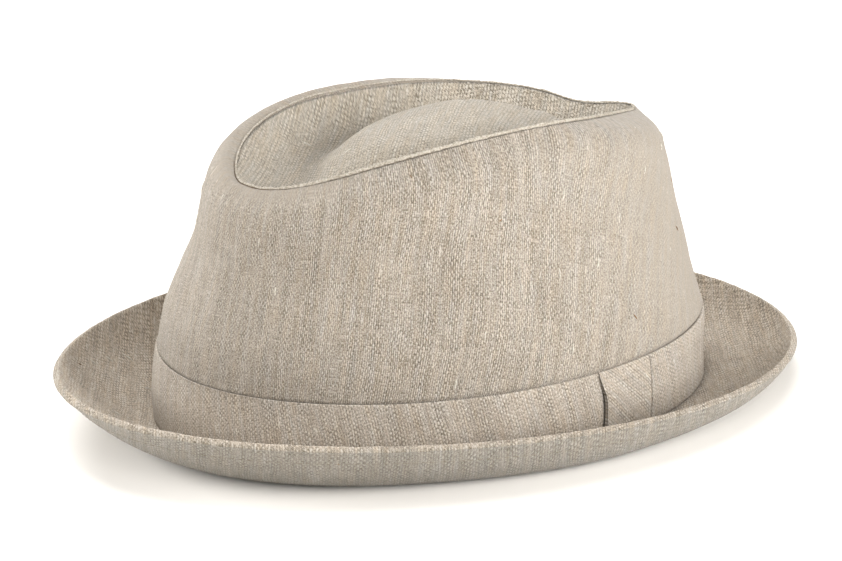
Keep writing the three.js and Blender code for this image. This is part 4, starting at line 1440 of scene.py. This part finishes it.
# %% Slubs, flecks and fuzz
WALL_STEPS = (slice(48, 142, 3), slice(None, None, 4))
TIP_STEPS = (slice(3, 72, 3), slice(None, None, 5))
BRIM_STEP = 6
SHEET_OUT = (0.08, 0.98, 16)
UNDER_FROM = 6
TIP_WARP, BRIM_WARP = -57, -44

wall_sheet = (wall_points[WALL_STEPS], cone_place(wall_angles, slants)[WALL_STEPS], 0, False)
tip_sheet = (top[TIP_STEPS], top[..., :2][TIP_STEPS], TIP_WARP, True)
sheet_outs = np.linspace(*SHEET_OUT)[:, None]
sheet_angles = brim_angles[::BRIM_STEP]
brim_top_places = brim_upper(sheet_angles, sheet_outs)
brim_low_places = brim_under(sheet_angles, sheet_outs[UNDER_FROM:])
top_sheets = [wall_sheet, tip_sheet, (brim_top_places, brim_top_places[..., :2], BRIM_WARP, True)]
all_sheets = [*top_sheets, (brim_low_places, brim_low_places[..., :2], BRIM_WARP, False)]

thick_yarn = grow("thick_yarn_slubs", guide_sheets(top_sheets), fibre_tree, pale_flax, {
    "Per square metre": 1000.0, "Length": 4.4 * MM, "Radius": 0.3 * MM, "Arch": 0.3 * MM,
    "Sink": 0.25 * MM})
flecks = grow("brown_stalk_flecks", guide_sheets(all_sheets), fibre_tree, brown_flax, {
    "Per square metre": 350.0, "Length": 1.9 * MM, "Radius": 0.17 * MM, "Arch": 0.15 * MM,
    "Sink": 0.05 * MM, "Turn": 1.2, "Seed": 8})
fuzz = grow("loose_fibre_ends", guide_sheets(all_sheets), fibre_tree, pale_flax, {
    "Per square metre": 9000.0, "Length": 1.9 * MM, "Radius": 0.035 * MM, "Arch": 0.35 * MM,
    "Sink": 0.05 * MM, "Turn": math.pi, "Tilt": 0.5, "Sides": 3, "Seed": 15})
print("points that the sheets have:", sum(points[..., 0].size for points, *_ in all_sheets))

# %% [markdown]
# ## Onto the body
# The hat is one body, so every piece rides the root. Each cloth takes the place of the plain solid
# that has its name and takes its own linen, so that somebody can give the band another cloth.
# Piping, threads and fibres have no solid; they ride the root with their own finishes.

# %% Ride and replace
DRESSED = {
    "piece": [crown_wall, crown_tip, brim, hat_band, band_tab],
    "node": ["crown_wall", "crown_tip", "brim", "hat_band", "band_tab"],
    "slot": ["crown_cloth", "tip_cloth", "brim_cloth", "band_cloth", "tab_cloth"],
    "material": [wall_linen, tip_linen, brim_linen, band_linen, tab_linen],
}
for piece, node, slot, material in zip(*DRESSED.values()):
    piece.data.materials.clear()
    piece.data.materials.append(material)
    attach(piece, "root")
    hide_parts(node)

ADDED = {
    "tip_cloth": [rim_lip, rim_thread_and_seam_shade],
    "tab_cloth": [joint_thread],
    "brim_cloth": [hem_stitches],
    "crown_cloth": [thick_yarn, flecks, fuzz],
}
for slot, pieces in ADDED.items():
    for piece in pieces:
        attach(piece, "root")
print("pieces:", len(DRESSED["piece"]) + sum(len(pieces) for pieces in ADDED.values()))
